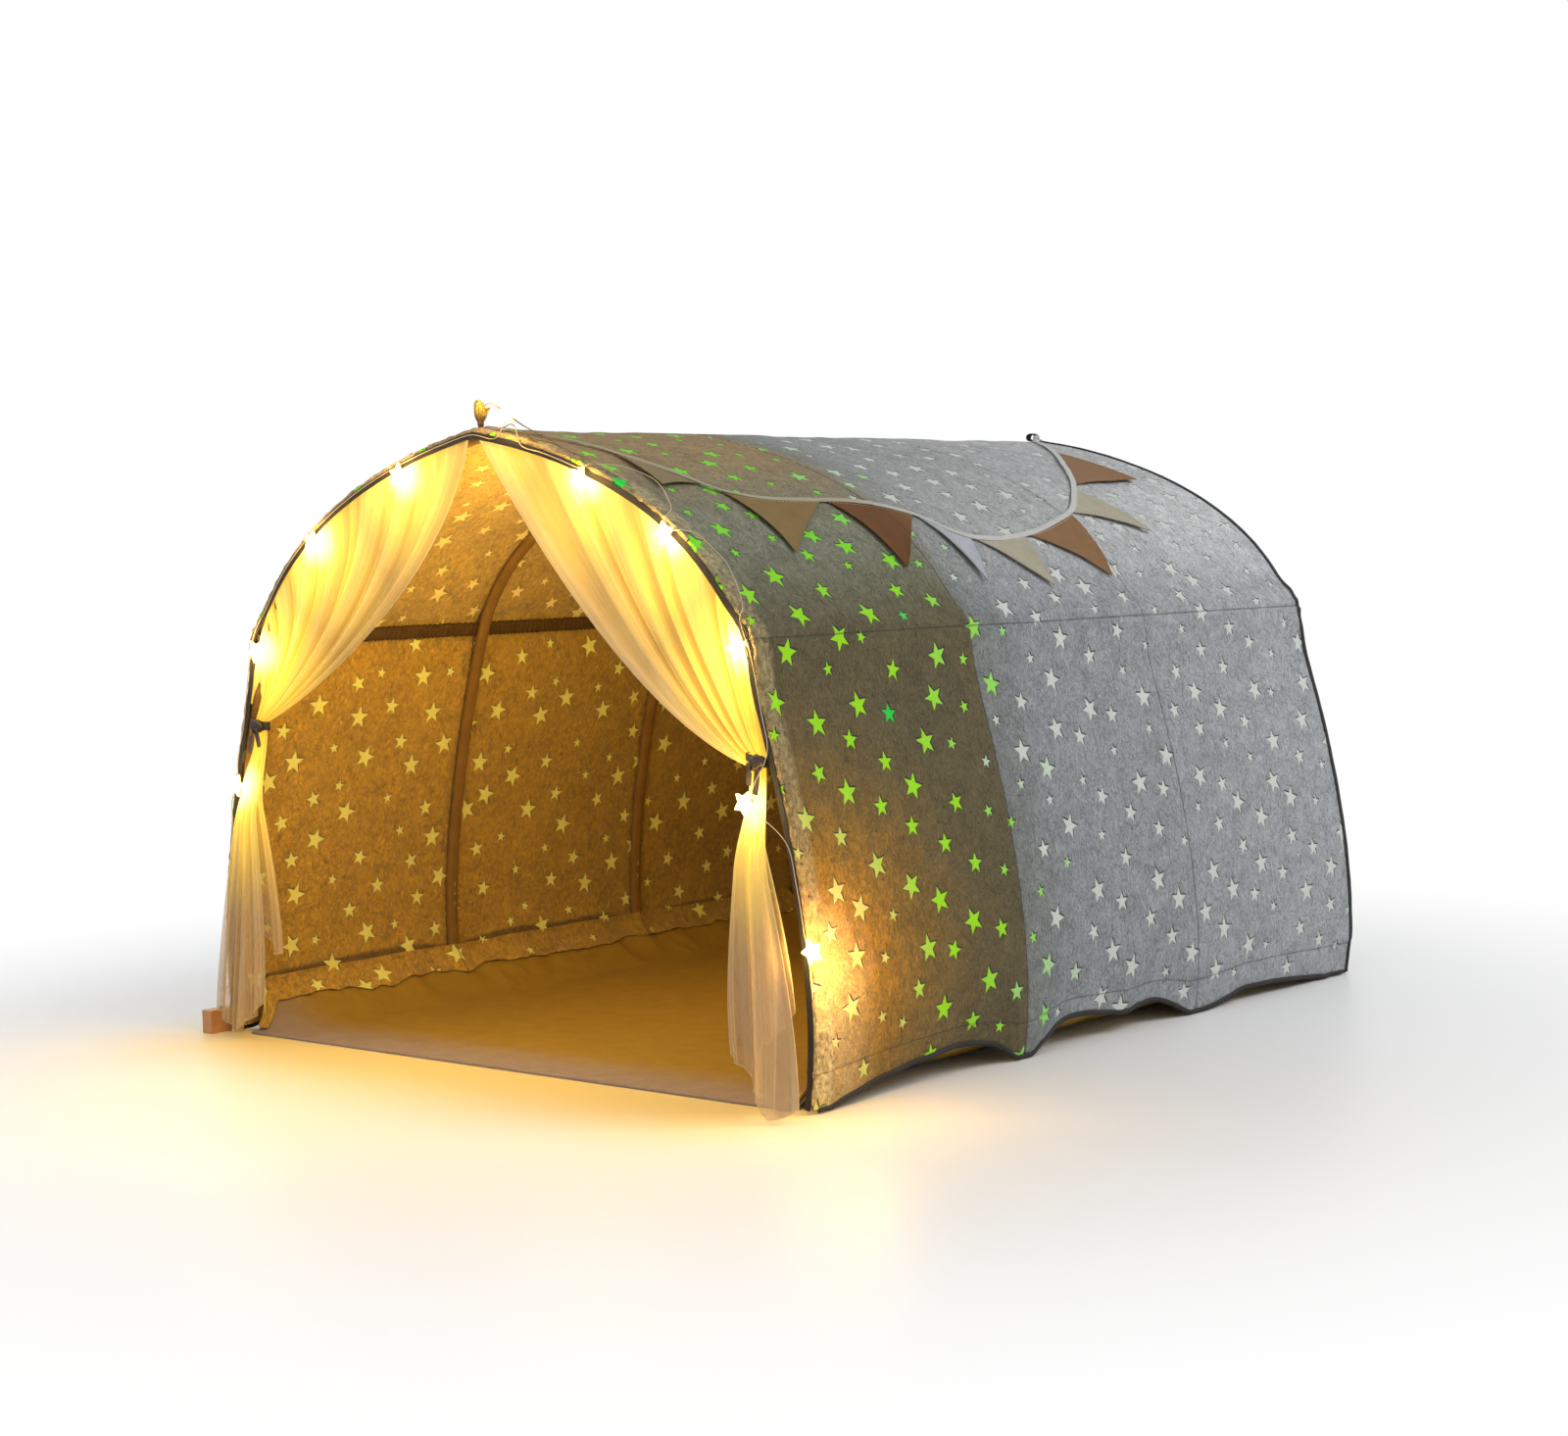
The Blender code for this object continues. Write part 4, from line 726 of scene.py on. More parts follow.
# %% Sheer net
def tulle(name="tulle", base=0.66):
    """Sheer net in pleats, denser in their hollows and at the hems, lit through near the lamps."""
    shader = Shader(name, roughness=0.7, sheen_weight=0.2, emission_strength=2.0)
    vector, across, down = shader.cloth()
    place, _, _, height = shader.place()
    pleat = shader.node("Attribute", out=2, attribute_name="pleat")
    edge = shader.node("Attribute", out=2, attribute_name="edge")
    streaks = shader.noise(shader.stretched(vector, 1.0, 0.04, 1.0), 0.007, 3.0, 0.6)
    cloud = shader.noise(vector, 0.05, 3.0)
    net = 1 - shader.ramp(shader.cells(vector, 0.0016, out=0, feature="DISTANCE_TO_EDGE"), 0.0, 0.22)
    ridge = shader.ramp(pleat, -0.6, 0.9)
    crease = shader.line(pleat - 0.15, 0.10)
    hem = 1 - shader.ramp(edge, 0.0008, 0.0026)
    upper = shader.ramp(height, 0.25, 0.41)
    alpha = base - ridge * 0.16 + (streaks - 0.5) * (0.05 + upper * 0.23) + net * 0.06 + (cloud - 0.5) * 0.20
    alpha = alpha + hem * 0.18 + crease * 0.08 - (1 - upper) * 0.20
    alpha = shader.math("MINIMUM", shader.math("MAXIMUM", alpha, 0.15), 0.97)
    # Painted lamplight and shade: crests lighter than hollows, and the net above the ties golden.
    colour = shader.mix(upper, shader.mix(ridge, (0.560, 0.400, 0.235), (0.760, 0.560, 0.320)),
                        shader.mix(ridge, (0.660, 0.430, 0.165), (0.940, 0.720, 0.330)))
    colour = shader.mix(shader.math("MAXIMUM", hem * 0.5, crease * 0.5), colour, (0.860, 0.680, 0.460))
    colour = shader.shade(colour, 0.92 + (streaks - 0.5) * (0.02 + upper * 0.33))
    glow, core = 0.0, 0.0
    for star in STARS[:9]:
        hung_at = tuple(front_point(*star))
        away = shader.node("VectorMath", {0: place, 1: hung_at}, out=1, operation="DISTANCE")
        near = 1 - shader.ramp(away, 0.0, 0.24)
        glow = shader.math("MAXIMUM", glow, near * near)
        core = shader.math("MAXIMUM", core, 1 - shader.ramp(away, 0.008, 0.040))
    light = shader.mix(glow * (0.60 + ridge * 0.40), (0.006, 0.003, 0.0), (0.500, 0.335, 0.006))
    light = shader.mix(core, light, (1.0, 0.84, 0.42))
    relief = streaks * (0.08 + upper * 0.92) + net * 0.3
    return shader.finish(colour, relief, 0.0006, 0.5, alpha=alpha, emission_color=light)


# %% [markdown]
# ## Gold ribbon
# Satin ribbon shows fine ribs, and its sheen changes with each fold, which is painted into its tone. The knot
# and the loops could have a material each. One that goes by height keeps the knot dark and the loops bright
# without an edge: painted shade at the knot and painted highlights on the loops.

# %% Gold ribbon
def gilded(name="gold_ribbon"):
    """Satin ribbon, dark brown at the knot and bright gold where the light catches its loops."""
    shader = Shader(name, roughness=0.42, metallic=0.2)
    vector, along_piece, across = shader.cloth()
    ribs = shader.math("SINE", along_piece * (2 * math.pi / 0.0007)) * 0.5 + 0.5
    fold = shader.noise(shader.stretched(vector, 0.3, 1.0, 1.0), 0.003, 3.0)
    # Painted shade low at the knot and painted highlights on the loops above it.
    rise = shader.ramp(shader.place()[3] + (fold - 0.5) * 0.010, RIDGE_HEIGHT + 0.008, RIDGE_HEIGHT + 0.028)
    colour = shader.mix(rise, (0.095, 0.045, 0.008), (0.900, 0.640, 0.120))
    return shader.finish(shader.shade(colour, 0.70 + fold * 0.5 + ribs * 0.12), ribs + fold, 0.0004, 0.7)


# %% [markdown]
# ## Plastic, rods and lamps
# Moulded plastic is never perfectly even, and drawn rods have long streaks. A single colour would look
# flat, so both get faint noise in colour and gloss. The lamps are milky plastic that gives light of its
# own, whitest in the middle.

# %% Moulded, drawn and lit finishes
def moulded(name, colour, roughness):
    """Moulded plastic with fine grain and faint flow marks."""
    shader = Shader(name, roughness=roughness)
    vector, _, _, _ = shader.place()
    fine = shader.noise(vector, 0.0009, 3.0)
    flow = shader.noise(shader.stretched(vector, 1.0, 0.3, 1.0), 0.012, 4.0, 0.6, 0.8)
    painted = shader.shade(colour, 0.88 + (flow - 0.5) * 0.35 + (fine - 0.5) * 0.12)
    rough = roughness - 0.08 + flow * 0.18
    return shader.finish(painted, fine, 0.0002, 0.5, roughness=rough)


def drawn(name, colour, roughness, metallic):
    """A drawn rod or wire: long fine streaks."""
    shader = Shader(name, roughness=roughness, metallic=metallic)
    vector, _, _, _ = shader.place()
    streak = shader.noise(shader.stretched(vector, 1.0, 1.0, 0.06), 0.0016, 3.0)
    spots = shader.noise(vector, 0.02, 3.0)
    painted = shader.shade(colour, 0.85 + (streak - 0.5) * 0.4 + (spots - 0.5) * 0.2)
    return shader.finish(painted, streak, 0.0002, 0.5, roughness=roughness - 0.06 + spots * 0.2)


def lamp():
    """A lit milky star, white hot in the middle and amber at its rim."""
    shader = Shader("star_lamp", roughness=0.35, emission_strength=7.0)
    _, out, _ = shader.cloth()
    frost = shader.noise(shader.place()[0], 0.0012, 3.0)
    rim = shader.ramp(out, 0.35, 1.0)
    light = shader.mix(rim, (1.0, 0.86, 0.52), (1.0, 0.60, 0.14))
    colour = shader.mix(rim, (1.0, 0.92, 0.70), (0.95, 0.72, 0.36))
    return shader.finish(shader.shade(colour, 0.92 + frost * 0.12), frost, 0.0003, 0.5, emission_color=light)


# %% [markdown]
# ## All finishes by name
# Each finish is made once and looked up by its name, so pieces of one cloth share one material.

# %% Finishes
CLOTHS = {
    "fleece": fleece(), "lining": lining(), "rear_fleece": fleece("rear_fleece", True),
    "rear_lining": lining("rear_lining", True),
    "sleeve": woven("sleeve_cloth", (0.230, 0.120, 0.022), 0.0009, 0.0004, (0.0040,), 0.4),
    "eave": woven("eave_cloth", (0.080, 0.040, 0.006), 0.0010, 0.0004, (), 0.7),
    "binding": woven("binding", (0.012, 0.010, 0.009), 0.0008, 0.0004, (0.0030,), 0.4, 0.75, 3.0),
    # The floor sheet keeps its own pinkish grey at the front edge and is painted golden by lamplight further
    # in.
    "floor": woven("floor_cloth", (0.330, 0.205, 0.018), 0.0008, 0.0003, (), 0.30, 0.85,
                   front=((0.310, 0.240, 0.215), -0.545, -0.430)),
    "tulle": tulle(), "tulle_inner": tulle("tulle_inner", 0.48),
    "ribbon": woven("ribbon", (0.022, 0.013, 0.009), 0.0006, 0.0003, (), 0.5, 0.5),
    "gold": gilded(),
    # The tape is painted darker and warmer over the front bay, as lamplight and shade.
    "tape": woven("tape", (0.560, 0.555, 0.530), 0.0007, 0.0003, (0.0018, 0.0064), 0.16, 0.85, 0.75,
                  front=((0.420, 0.370, 0.260), -0.24, -0.12)),
    "white": felt("felt_white", (0.500, 0.530, 0.580)), "beige": felt("felt_beige", (0.470, 0.430, 0.325)),
    "brown": felt("felt_brown", (0.280, 0.150, 0.068)),
    "pole": drawn("pole", (0.700, 0.690, 0.650), 0.40, 0.0),
    "elbow": moulded("pole_elbow", (0.030, 0.030, 0.032), 0.5),
    "wire": drawn("wire", (0.640, 0.520, 0.330), 0.35, 0.5), "lamp": lamp(),
    "plastic": moulded("box_plastic", (0.560, 0.270, 0.110), 0.40),
    "switch": moulded("switch_plastic", (0.050, 0.040, 0.036), 0.45),
    "battery": drawn("battery", (0.500, 0.500, 0.520), 0.32, 0.8),
}
print(len(CLOTHS), "finishes")


# %% [markdown]
# ## Meshes from grids of points
# Sculpting and cloth tools work by hand. For a script it is simpler to compute a grid of points
# and join them. A part is its points, faces, map coordinates of the faces' corners, and the material
# number of each face. Sheets are two grids with a rim, tubes are rings of points.

# %% Sheets and tubes
def quads(index):
    return np.stack([index[:-1, :-1], index[:-1, 1:], index[1:, 1:], index[1:, :-1]], -1).reshape(-1, 4)


def sheet_part(outer, inner, coords, numbers=(0, 1, 0)):
    """A closed sheet between two grids. numbers are the materials of outside, inside and rim."""
    rows, columns = outer.shape[:2]
    index = np.arange(rows * columns).reshape(rows, columns)
    top, count = quads(index), rows * columns
    loop = np.concatenate([index[0], index[1:, -1], index[-1, -2::-1], index[-2::-1, 0]])
    rim = np.stack([loop[1:], loop[:-1], loop[:-1] + count, loop[1:] + count], -1)
    faces = np.concatenate([top, top[:, ::-1] + count, rim])
    flat = coords.reshape(-1, 2)
    kind = np.repeat(numbers, [len(top), len(top), len(rim)])
    return np.concatenate([outer.reshape(-1, 3), inner.reshape(-1, 3)]), faces, flat[faces % count], kind


def tube_part(rings, coords, number=0, caps=True):
    """A tube through rings of points. coords has one more column than the rings have points."""
    rows, count = rings.shape[:2]
    index = np.arange(rows * count).reshape(rows, count)
    faces = quads(np.hstack([index, index[:, :1]]))
    wide = quads(np.arange(rows * (count + 1)).reshape(rows, count + 1))
    points, corners = [rings.reshape(-1, 3)], [coords.reshape(-1, 2)[wide]]
    groups = [faces]
    if caps:
        for end, row in enumerate((0, rows - 1)):
            hub = rows * count + end
            points.append(rings[row].mean(0)[None])
            edge = np.append(index[row], index[row][0])
            fan = np.stack([edge[:-1], edge[1:], np.full(count, hub), np.full(count, hub)], -1)
            groups.append(fan[:, ::-1] if row else fan)
            corners.append(np.repeat(coords[row, :1][None], count, 0).repeat(4, 1).reshape(count, 4, 2))
    faces = np.concatenate(groups)
    return np.concatenate(points), faces, np.concatenate(corners), np.full(len(faces), number)


# %% [markdown]
# ## One object from several parts
# The parts of a piece are joined to one mesh, with its map and its materials. Doubled points are merged
# and the faces turned outwards, so that the mesh is closed.

# %% Objects and their bodies
def make(name, parts, materials, attributes=(), sharp=50):
    """One object from several parts, with its map and its materials."""
    starts = np.cumsum([0] + [len(part[0]) for part in parts])
    points = np.concatenate([part[0] for part in parts])
    faces = np.concatenate([part[1] + start for part, start in zip(parts, starts)])
    corners = np.concatenate([part[2] for part in parts])
    kinds = np.concatenate([part[3] for part in parts])
    outlines = [[v for i, v in enumerate(face) if v != face[i - 1]] for face in faces.tolist()]
    data = bpy.data.meshes.new(name)
    data.from_pydata(points.tolist(), [], outlines)
    keep = np.array([[v != face[i - 1] for i, v in enumerate(face)] for face in faces.tolist()])
    data.uv_layers.new(name="cloth").uv.foreach_set("vector", corners[keep].astype(np.float32).ravel())
    data.polygons.foreach_set("material_index", kinds.astype(np.int32))
    for key, values in dict(attributes).items():
        data.attributes.new(key, "FLOAT", "POINT").data.foreach_set("value", np.asarray(values, np.float32))
    for material in materials:
        data.materials.append(CLOTHS[material])
    work = bmesh.new()
    work.from_mesh(data)
    bmesh.ops.remove_doubles(work, verts=work.verts, dist=0.0000005)
    bmesh.ops.recalc_face_normals(work, faces=work.faces)
    work.to_mesh(data)
    work.free()
    data.shade_smooth()
    data.set_sharp_from_angle(angle=math.radians(sharp))
    thing = bpy.data.objects.new(name, data)
    bpy.context.scene.collection.objects.link(thing)
    print(f"{name}: {len(data.polygons)} faces")
    return thing


def keep(piece, slot, *nodes, body="tent"):
    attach(piece, body)
    if nodes:
        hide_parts(*nodes)
    return piece


# %% [markdown]
# ## Sweeping a section along a line
# Tapes, ribbons and rims are one section carried along a line, as an icing nozzle is. A curve object with a
# bevel does that too, but it can't give the map in metres that the weave needs.

# %% Sections, sweeps and even steps
def unit(vectors):
    return vectors / np.maximum(np.linalg.norm(vectors, axis=-1, keepdims=True), 1e-9)


def lengths(points):
    return np.concatenate([[0], np.cumsum(np.linalg.norm(np.diff(points, axis=0), axis=1))])


def squarer(share, power):
    """A sine or cosine, bent towards a square's."""
    return np.sign(share) * np.abs(share) ** power


def facing_of(grid):
    """Which way each point of a grid faces."""
    return unit(np.cross(np.gradient(grid, axis=1), np.gradient(grid, axis=0)))


def upwards(grid):
    """The same, turned to the upper side."""
    facing = facing_of(grid)
    return facing * np.where(facing[..., 2:] < 0, -1, 1)


def run_along(grid, axis):
    """Distance along the rows or columns of a grid, from 0 at the first point."""
    steps = np.cumsum(np.linalg.norm(np.diff(grid, axis=axis), axis=2), axis)
    return np.concatenate([0 * np.take(steps, [0], axis), steps], axis)


def rounded(half_wide, half_deep, sides=12, square=0.6):
    """A rounded section as offsets (across, out)."""
    turns = np.linspace(0, 2 * np.pi, sides, endpoint=False)
    wide, deep = squarer(np.cos(turns), square), squarer(np.sin(turns), square)
    return np.stack([half_wide * wide, half_deep * deep], -1)


def swept(points, wide, section, number=0, caps=True, scale=1.0):
    """A tube whose section is carried along the points, with its first axis towards wide."""
    points = np.asarray(points, float)
    ahead = unit(np.gradient(points, axis=0))
    wide = np.broadcast_to(np.asarray(wide, float), points.shape)
    wide = unit(wide - (wide * ahead).sum(1, keepdims=True) * ahead)
    out = np.cross(ahead, wide)
    section = np.broadcast_to(section, (len(points), *np.shape(section)[-2:])) * np.reshape(scale, (-1, 1, 1))
    rings = points[:, None] + section[..., :1] * wide[:, None] + section[..., 1:] * out[:, None]
    closed = np.concatenate([section[0], section[0][:1]])
    around = lengths(closed)
    coords = together(lengths(points)[:, None], around[None])
    return tube_part(rings, coords, number, caps)


def spread(points, count):
    """Points at even steps on the smooth curve through these."""
    points = np.asarray(points, float)
    knots = np.concatenate([points[:1] * 2 - points[1:2], points, points[-1:] * 2 - points[-2:-1]])
    fine = []
    for a, b, c, d in zip(knots, knots[1:], knots[2:], knots[3:]):
        for t in np.linspace(0, 1, 12, endpoint=False):
            fine.append(0.5 * (2 * b + (c - a) * t + (2 * a - 5 * b + 4 * c - d) * t**2
                               + (3 * b - a - 3 * c + d) * t**3))
    fine = np.array(fine + [points[-1]])
    run = lengths(fine)
    at = np.linspace(0, run[-1], count)
    return np.stack([np.interp(at, run, fine[:, axis]) for axis in range(3)], -1)


# %% [markdown]
# ## The light string's wire
# A thin wire leaves the battery box, climbs the left leg, follows the front arch from lamp to lamp and
# dips in bows on the outside. Its knots are places on the arch. A curve with a round bevel is the right
# tool here, because a wire has no weave.

# %% Route of the wire
WIRE_START = (-0.5104, -0.5485, 0.0303)
WIRE_TOP = (-0.5104, -0.5485, 0.0400)
WIRE_STEP, WIRE_POINTS, WIRE_ROUNDINGS = 0.040, 900, 8
WIRE_RADIUS = 0.00055
FRONT, OVER, OUTSIDE = -0.0029, -0.0033, 0.0042
WIRE_KNOTS = [
    (-1, 0.105, 0.0105, 0.0110), (-1, 0.125, 0.0050, -0.0034), (-1, 0.145, -0.0050, FRONT),
    (-1, 0.560, -0.0060, FRONT), (-1, 0.610, -0.0110, -0.0115), (-1, 0.640, -0.0200, -0.0172),
    (-1, 0.665, -0.0260, -0.0172), (-1, 0.700, -0.0200, -0.0160), (-1, 0.740, -0.0110, -0.0095),
    (-1, 0.790, -0.0060, FRONT), (-1, 1.985, -0.0060, FRONT), (1, 1.985, -0.0060, FRONT),
    (1, 1.935, -0.0060, FRONT),
    (1, 1.918, 0.0100, OVER), (1, 1.900, 0.0250, OVER), (1, 1.882, 0.0100, OVER),
    (1, 1.865, -0.0060, FRONT), (1, 1.700, -0.0060, FRONT), (1, 1.685, -0.0020, OVER),
    (1, 1.680, 0.0034, OVER), (1, 1.675, 0.0036, 0.0040), (1, 1.660, OUTSIDE, 0.0400),
    (1, 1.600, OUTSIDE, 0.0560), (1, 1.538, OUTSIDE, 0.0455), (1, 1.450, OUTSIDE, 0.0180),
    (1, 1.430, 0.0036, 0.0040), (1, 1.424, 0.0034, OVER), (1, 1.418, -0.0020, OVER),
    (1, 1.395, -0.0060, FRONT), (1, 1.375, -0.0020, OVER), (1, 1.368, 0.0034, OVER),
    (1, 1.360, 0.0036, 0.0040), (1, 1.345, OUTSIDE, 0.0165), (1, 1.238, OUTSIDE, 0.0245),
    (1, 1.145, OUTSIDE, 0.0165), (1, 1.080, 0.0036, 0.0040), (1, 1.070, 0.0036, -0.0034),
    (1, 1.060, -0.0020, OVER), (1, 1.030, -0.0060, FRONT), (1, 0.780, -0.0060, FRONT),
    (1, 0.745, -0.0140, -0.0095), (1, 0.715, -0.0260, -0.0165), (1, 0.685, -0.0330, -0.0172),
    (1, 0.655, -0.0260, -0.0170), (1, 0.620, -0.0120, -0.0110), (1, 0.580, -0.0060, FRONT),
    (1, 0.400, -0.0030, FRONT), (1, 0.375, 0.0010, FRONT),
]


def wire_route():
    points = [np.array(WIRE_START), np.array(WIRE_TOP)]
    for here, there in zip(WIRE_KNOTS, WIRE_KNOTS[1:]):
        reach = np.linalg.norm(front_point(*there) - front_point(*here))
        if here[0] == there[0]:
            reach = max(reach, abs(there[1] - here[1]) * FOOT_HALF_WIDTH)
        steps = max(1, math.ceil(reach / WIRE_STEP))
        for step in range(steps):
            share = step / steps
            points.append(front_point(here[0], *(a + (b - a) * share for a, b in zip(here[1:], there[1:]))))
    points.append(front_point(*WIRE_KNOTS[-1]))
    line = spread(points, WIRE_POINTS)
    for _ in range(WIRE_ROUNDINGS):
        line[1:-1] = (line[:-2] + 2 * line[1:-1] + line[2:]) / 4
    return line


# %% [markdown]
# ## Star lamps
# Each lamp is a puffy moulded star with a collar that holds the wire. Rings between its middle and its
# edge give soft faces, which a flat star made thicker would not have.

# %% One lamp
STAR_RADIUS, STAR_THICKNESS = 0.0160, 0.0062


def star_lamp(number, side, u, lift, behind):
    """A puffy moulded star with a collar on its back that holds the wire."""
    turns = np.linspace(0, 2 * np.pi, 100, endpoint=False)
    point = np.abs((turns + np.pi / 5) % (2 * np.pi / 5) - np.pi / 5)
    edge = STAR_RADIUS * 0.45 / (np.cos(point) * 0.45 + np.sin(point) * 0.893)
    edge = (edge ** -14 + (STAR_RADIUS * 0.95) ** -14) ** (-1 / 14)
    out = np.array([0.0, 0.2, 0.4, 0.6, 0.75, 0.88, 0.96, 1.0])
    half = STAR_THICKNESS / 2 * (0.25 + 0.75 * np.sqrt(1 - out**2))
    ridge = 1 - 0.32 * np.sin(np.pi * out)[:, None] * (point / (np.pi / 5))[None]
    x, z = out[:, None] * edge * np.sin(turns), out[:, None] * edge * np.cos(turns)
    rings, tone = [], []
    for face in (-1, 1):
        ring = np.stack([x, np.broadcast_to(face * half[:, None] * ridge, x.shape), z], -1)
        rings.append(ring if face < 0 else ring[::-1])
        tone.append(out if face < 0 else out[::-1])
    rings, tone = np.concatenate(rings), np.concatenate(tone)
    tilt = 0.5 * math.sin(2.3 * number)
    turn = np.array([[math.cos(tilt), 0, math.sin(tilt)], [0, 1, 0], [-math.sin(tilt), 0, math.cos(tilt)]])
    centre = front_point(side, u, lift, behind)
    rings = rings @ turn.T + centre
    coords = together(tone[:, None], np.linspace(0, 1, 101)[None])
    nearest = int(np.argmin(np.linalg.norm(WIRE_LINE - centre, axis=1)))
    near = WIRE_LINE[nearest]
    held = WIRE_LINE[max(0, nearest - 2): nearest + 3]
    collar = swept(held, (0, 1, 0), rounded(0.0016, 0.0016, 10, 1.0), 1)
    neck = np.array([centre, (centre + near) / 2, near])
    neck = swept(neck, (1, 0, 0), rounded(0.0013, 0.0013, 10, 1.0), 1)
    name = f"star_lamp_{number}"
    return keep(make(name, [tube_part(rings, coords, 0, False), collar, neck], ["lamp", "wire"]),
                "star_lamp", f"light_star_{number}")


# %% [markdown]
# ## Wire, lamps and grommet
# The wire comes first, because each lamp looks for its nearest point. Where it leaves the box, a ribbed
# rubber grommet keeps it from kinking.

# %% The light string
WIRE_LINE = wire_route()
print(f"light string: {lengths(WIRE_LINE)[-1]:.3f} m of wire")
wire_curve = bpy.data.curves.new("light_string", "CURVE")
wire_curve.dimensions = "3D"
wire_curve.bevel_depth, wire_curve.bevel_resolution, wire_curve.use_fill_caps = WIRE_RADIUS, 3, True
spline = wire_curve.splines.new("POLY")
spline.points.add(len(WIRE_LINE) - 1)
for slot_point, place in zip(spline.points, WIRE_LINE):
    slot_point.co = (*place, 1.0)
wire_curve.materials.append(CLOTHS["wire"])
wire = bpy.data.objects.new("light_string", wire_curve)
bpy.context.scene.collection.objects.link(wire)
keep(wire, "wire", "light_wire")
lamps = [star_lamp(number, *star) for number, star in enumerate(STARS, 1)]

stem = np.linspace(WIRE_START, WIRE_TOP, 12) - (0, 0, 0.0006)
keep(make("wire_grommet", [swept(stem, (1, 0, 0), rounded(0.0026, 0.0026, 16, 1.0), scale=np.array(
    [1.0, 1.0, 0.9, 0.86, 0.7, 0.74, 0.58, 0.62, 0.46, 0.50, 0.36, 0.34]))], ["switch"]), "switch_plastic")


# %% [markdown]
# ## Bunting
# A cotton tape with eight felt triangles runs over the right half of the roof in two bows. Tape and
# pennants are laid on the canopy by the same function that shapes the canopy, so they can't sink in.

# %% Places on the roof
TAPE_KNOTS = [
    (-0.547, 2.000), (-0.520, 1.930), (-0.478, 1.800), (-0.452, 1.680), (-0.428, 1.575), (-0.375, 1.525),
    (-0.263, 1.498), (-0.191, 1.470), (-0.128, 1.425), (-0.085, 1.345), (-0.030, 1.318), (0.057, 1.335),
    (0.130, 1.372), (0.200, 1.425), (0.258, 1.505), (0.320, 1.600), (0.400, 1.740), (0.463, 1.851),
    (0.535, 1.985),
]
PENNANTS = [
    ("white", 2.15, 3.85, (-0.512, 1.560)), ("beige", 4.35, 5.95, (-0.410, 1.277)),
    ("brown", 6.05, 7.95, (-0.236, 1.205)), ("white", 8.05, 9.45, (-0.104, 1.140)),
    ("beige", 9.55, 10.95, (0.030, 1.120)), ("brown", 11.05, 12.95, (0.165, 1.145)),
    ("beige", 13.05, 14.65, (0.338, 1.325)), ("brown", 14.90, 16.90, (0.478, 1.608)),
]


def tape_place(at):
    """(y, u) on the tape's middle at knot numbers that may be fractional."""
    knots = np.array(TAPE_KNOTS)
    at = np.atleast_1d(np.asarray(at, float))
    start = np.minimum(at.astype(int), len(knots) - 2)
    t = (at - start)[:, None]
    a, b, c, d = (knots[np.clip(start + step, 0, len(knots) - 1)] for step in (-1, 0, 1, 2))
    found = 0.5 * (2 * b + (c - a) * t + (2 * a - 5 * b + 4 * c - d) * t**2 + (3 * b - a - 3 * c + d) * t**3)
    return np.stack([found[:, 0], np.minimum(2.0, found[:, 1])], -1)


# %% [markdown]
# ## The tape
# The tape is folded over the felts' upper edges. A slight twist along its run keeps it from looking
# printed on.

# %% Tape
def bunting_tape():
    """A folded cotton tape that lies on the pennants' upper edges, with a slight lift and twist."""
    at = np.linspace(0, len(TAPE_KNOTS) - 1, 420)
    place = tape_place(at)
    line = skin(2 - place[:, 1], place[:, 0], 0.0034 + 0.0006 * np.sin(at * 2.1))
    above = skin(2 - place[:, 1], place[:, 0], 0.0134)
    ahead = unit(np.gradient(line, axis=0))
    across = unit(np.cross(ahead, above - line))
    across = unit(across + 0.10 * np.sin(at * 1.7)[:, None] * unit(above - line))
    part = swept(line, across, rounded(0.0040, 0.0007, 12, 0.45))
    piece = keep(make("bunting_band", [part], ["tape"]), "tape", "bunting_tape")
    return piece, line


# %% [markdown]
# ## The pennants
# Felt triangles could be flat plates, turned by hand. A grid that narrows to its tip follows the roof by
# itself, and curls up a little where nothing holds it.

# %% Pennants
def bunting_pennant(number, felt_name, first, last, tip):
    """A felt triangle from the tape to its tip, lying on the roof with its tip curled up a little."""
    across, down = np.linspace(0, 1, 25), np.linspace(0, 1, 33)
    base = tape_place(first + (last - first) * across)
    base = base[None].repeat(len(down), 0)
    fall = down[:, None]
    tip_y, tip_u = tip
    y = base[..., 0] + (tip_y - base[..., 0]) * fall
    u = base[..., 1] + (tip_u - base[..., 1]) * fall
    u = u + 0.010 * np.sin(np.pi * fall) * (across[None] - 0.5) ** 2 * 4
    curl = 0.0026 * fall**2 * (1 + 0.6 * math.sin(number * 1.9))
    curl = curl + 0.0010 * np.sin(3 * across * np.pi + number)[None] * fall * (1 - fall)
    curl = curl + 0.0020 * np.abs(across * 2 - 1)[None] ** 3 * fall * (1 - fall) * 4
    outer, inner = (skin(2 - u, y, lift + curl) for lift in (0.0026, 0.0014))
    width = np.linalg.norm(outer[0, -1] - outer[0, 0])
    drop = np.linalg.norm(outer[-1, 12] - outer[0, 12])
    coords = np.stack([(across[None] - 0.5) * width * (1 - fall), np.broadcast_to(fall * drop, y.shape)], -1)
    part = sheet_part(outer, inner, coords, (0, 0, 0))
    piece = make(f"bunting_pennant_{number}", [part], [felt_name])
    return keep(piece, f"felt_{felt_name}", f"pennant_{number}")


band, band_line = bunting_tape()
print(f"bunting: {lengths(band_line)[-1]:.3f} m of tape")
pennants = [bunting_pennant(number, *row) for number, row in enumerate(PENNANTS, 1)]


# %% [markdown]
# ## Roof and walls
# On the real tent roof and walls are sewn together at the eaves, with the lining inside. One grid from
# hem to hem is enough here: its stations are closer at seams and edges, where the cloth bends most. Extra
# rows roll it over the front edge, where its pile stands up in tufts.

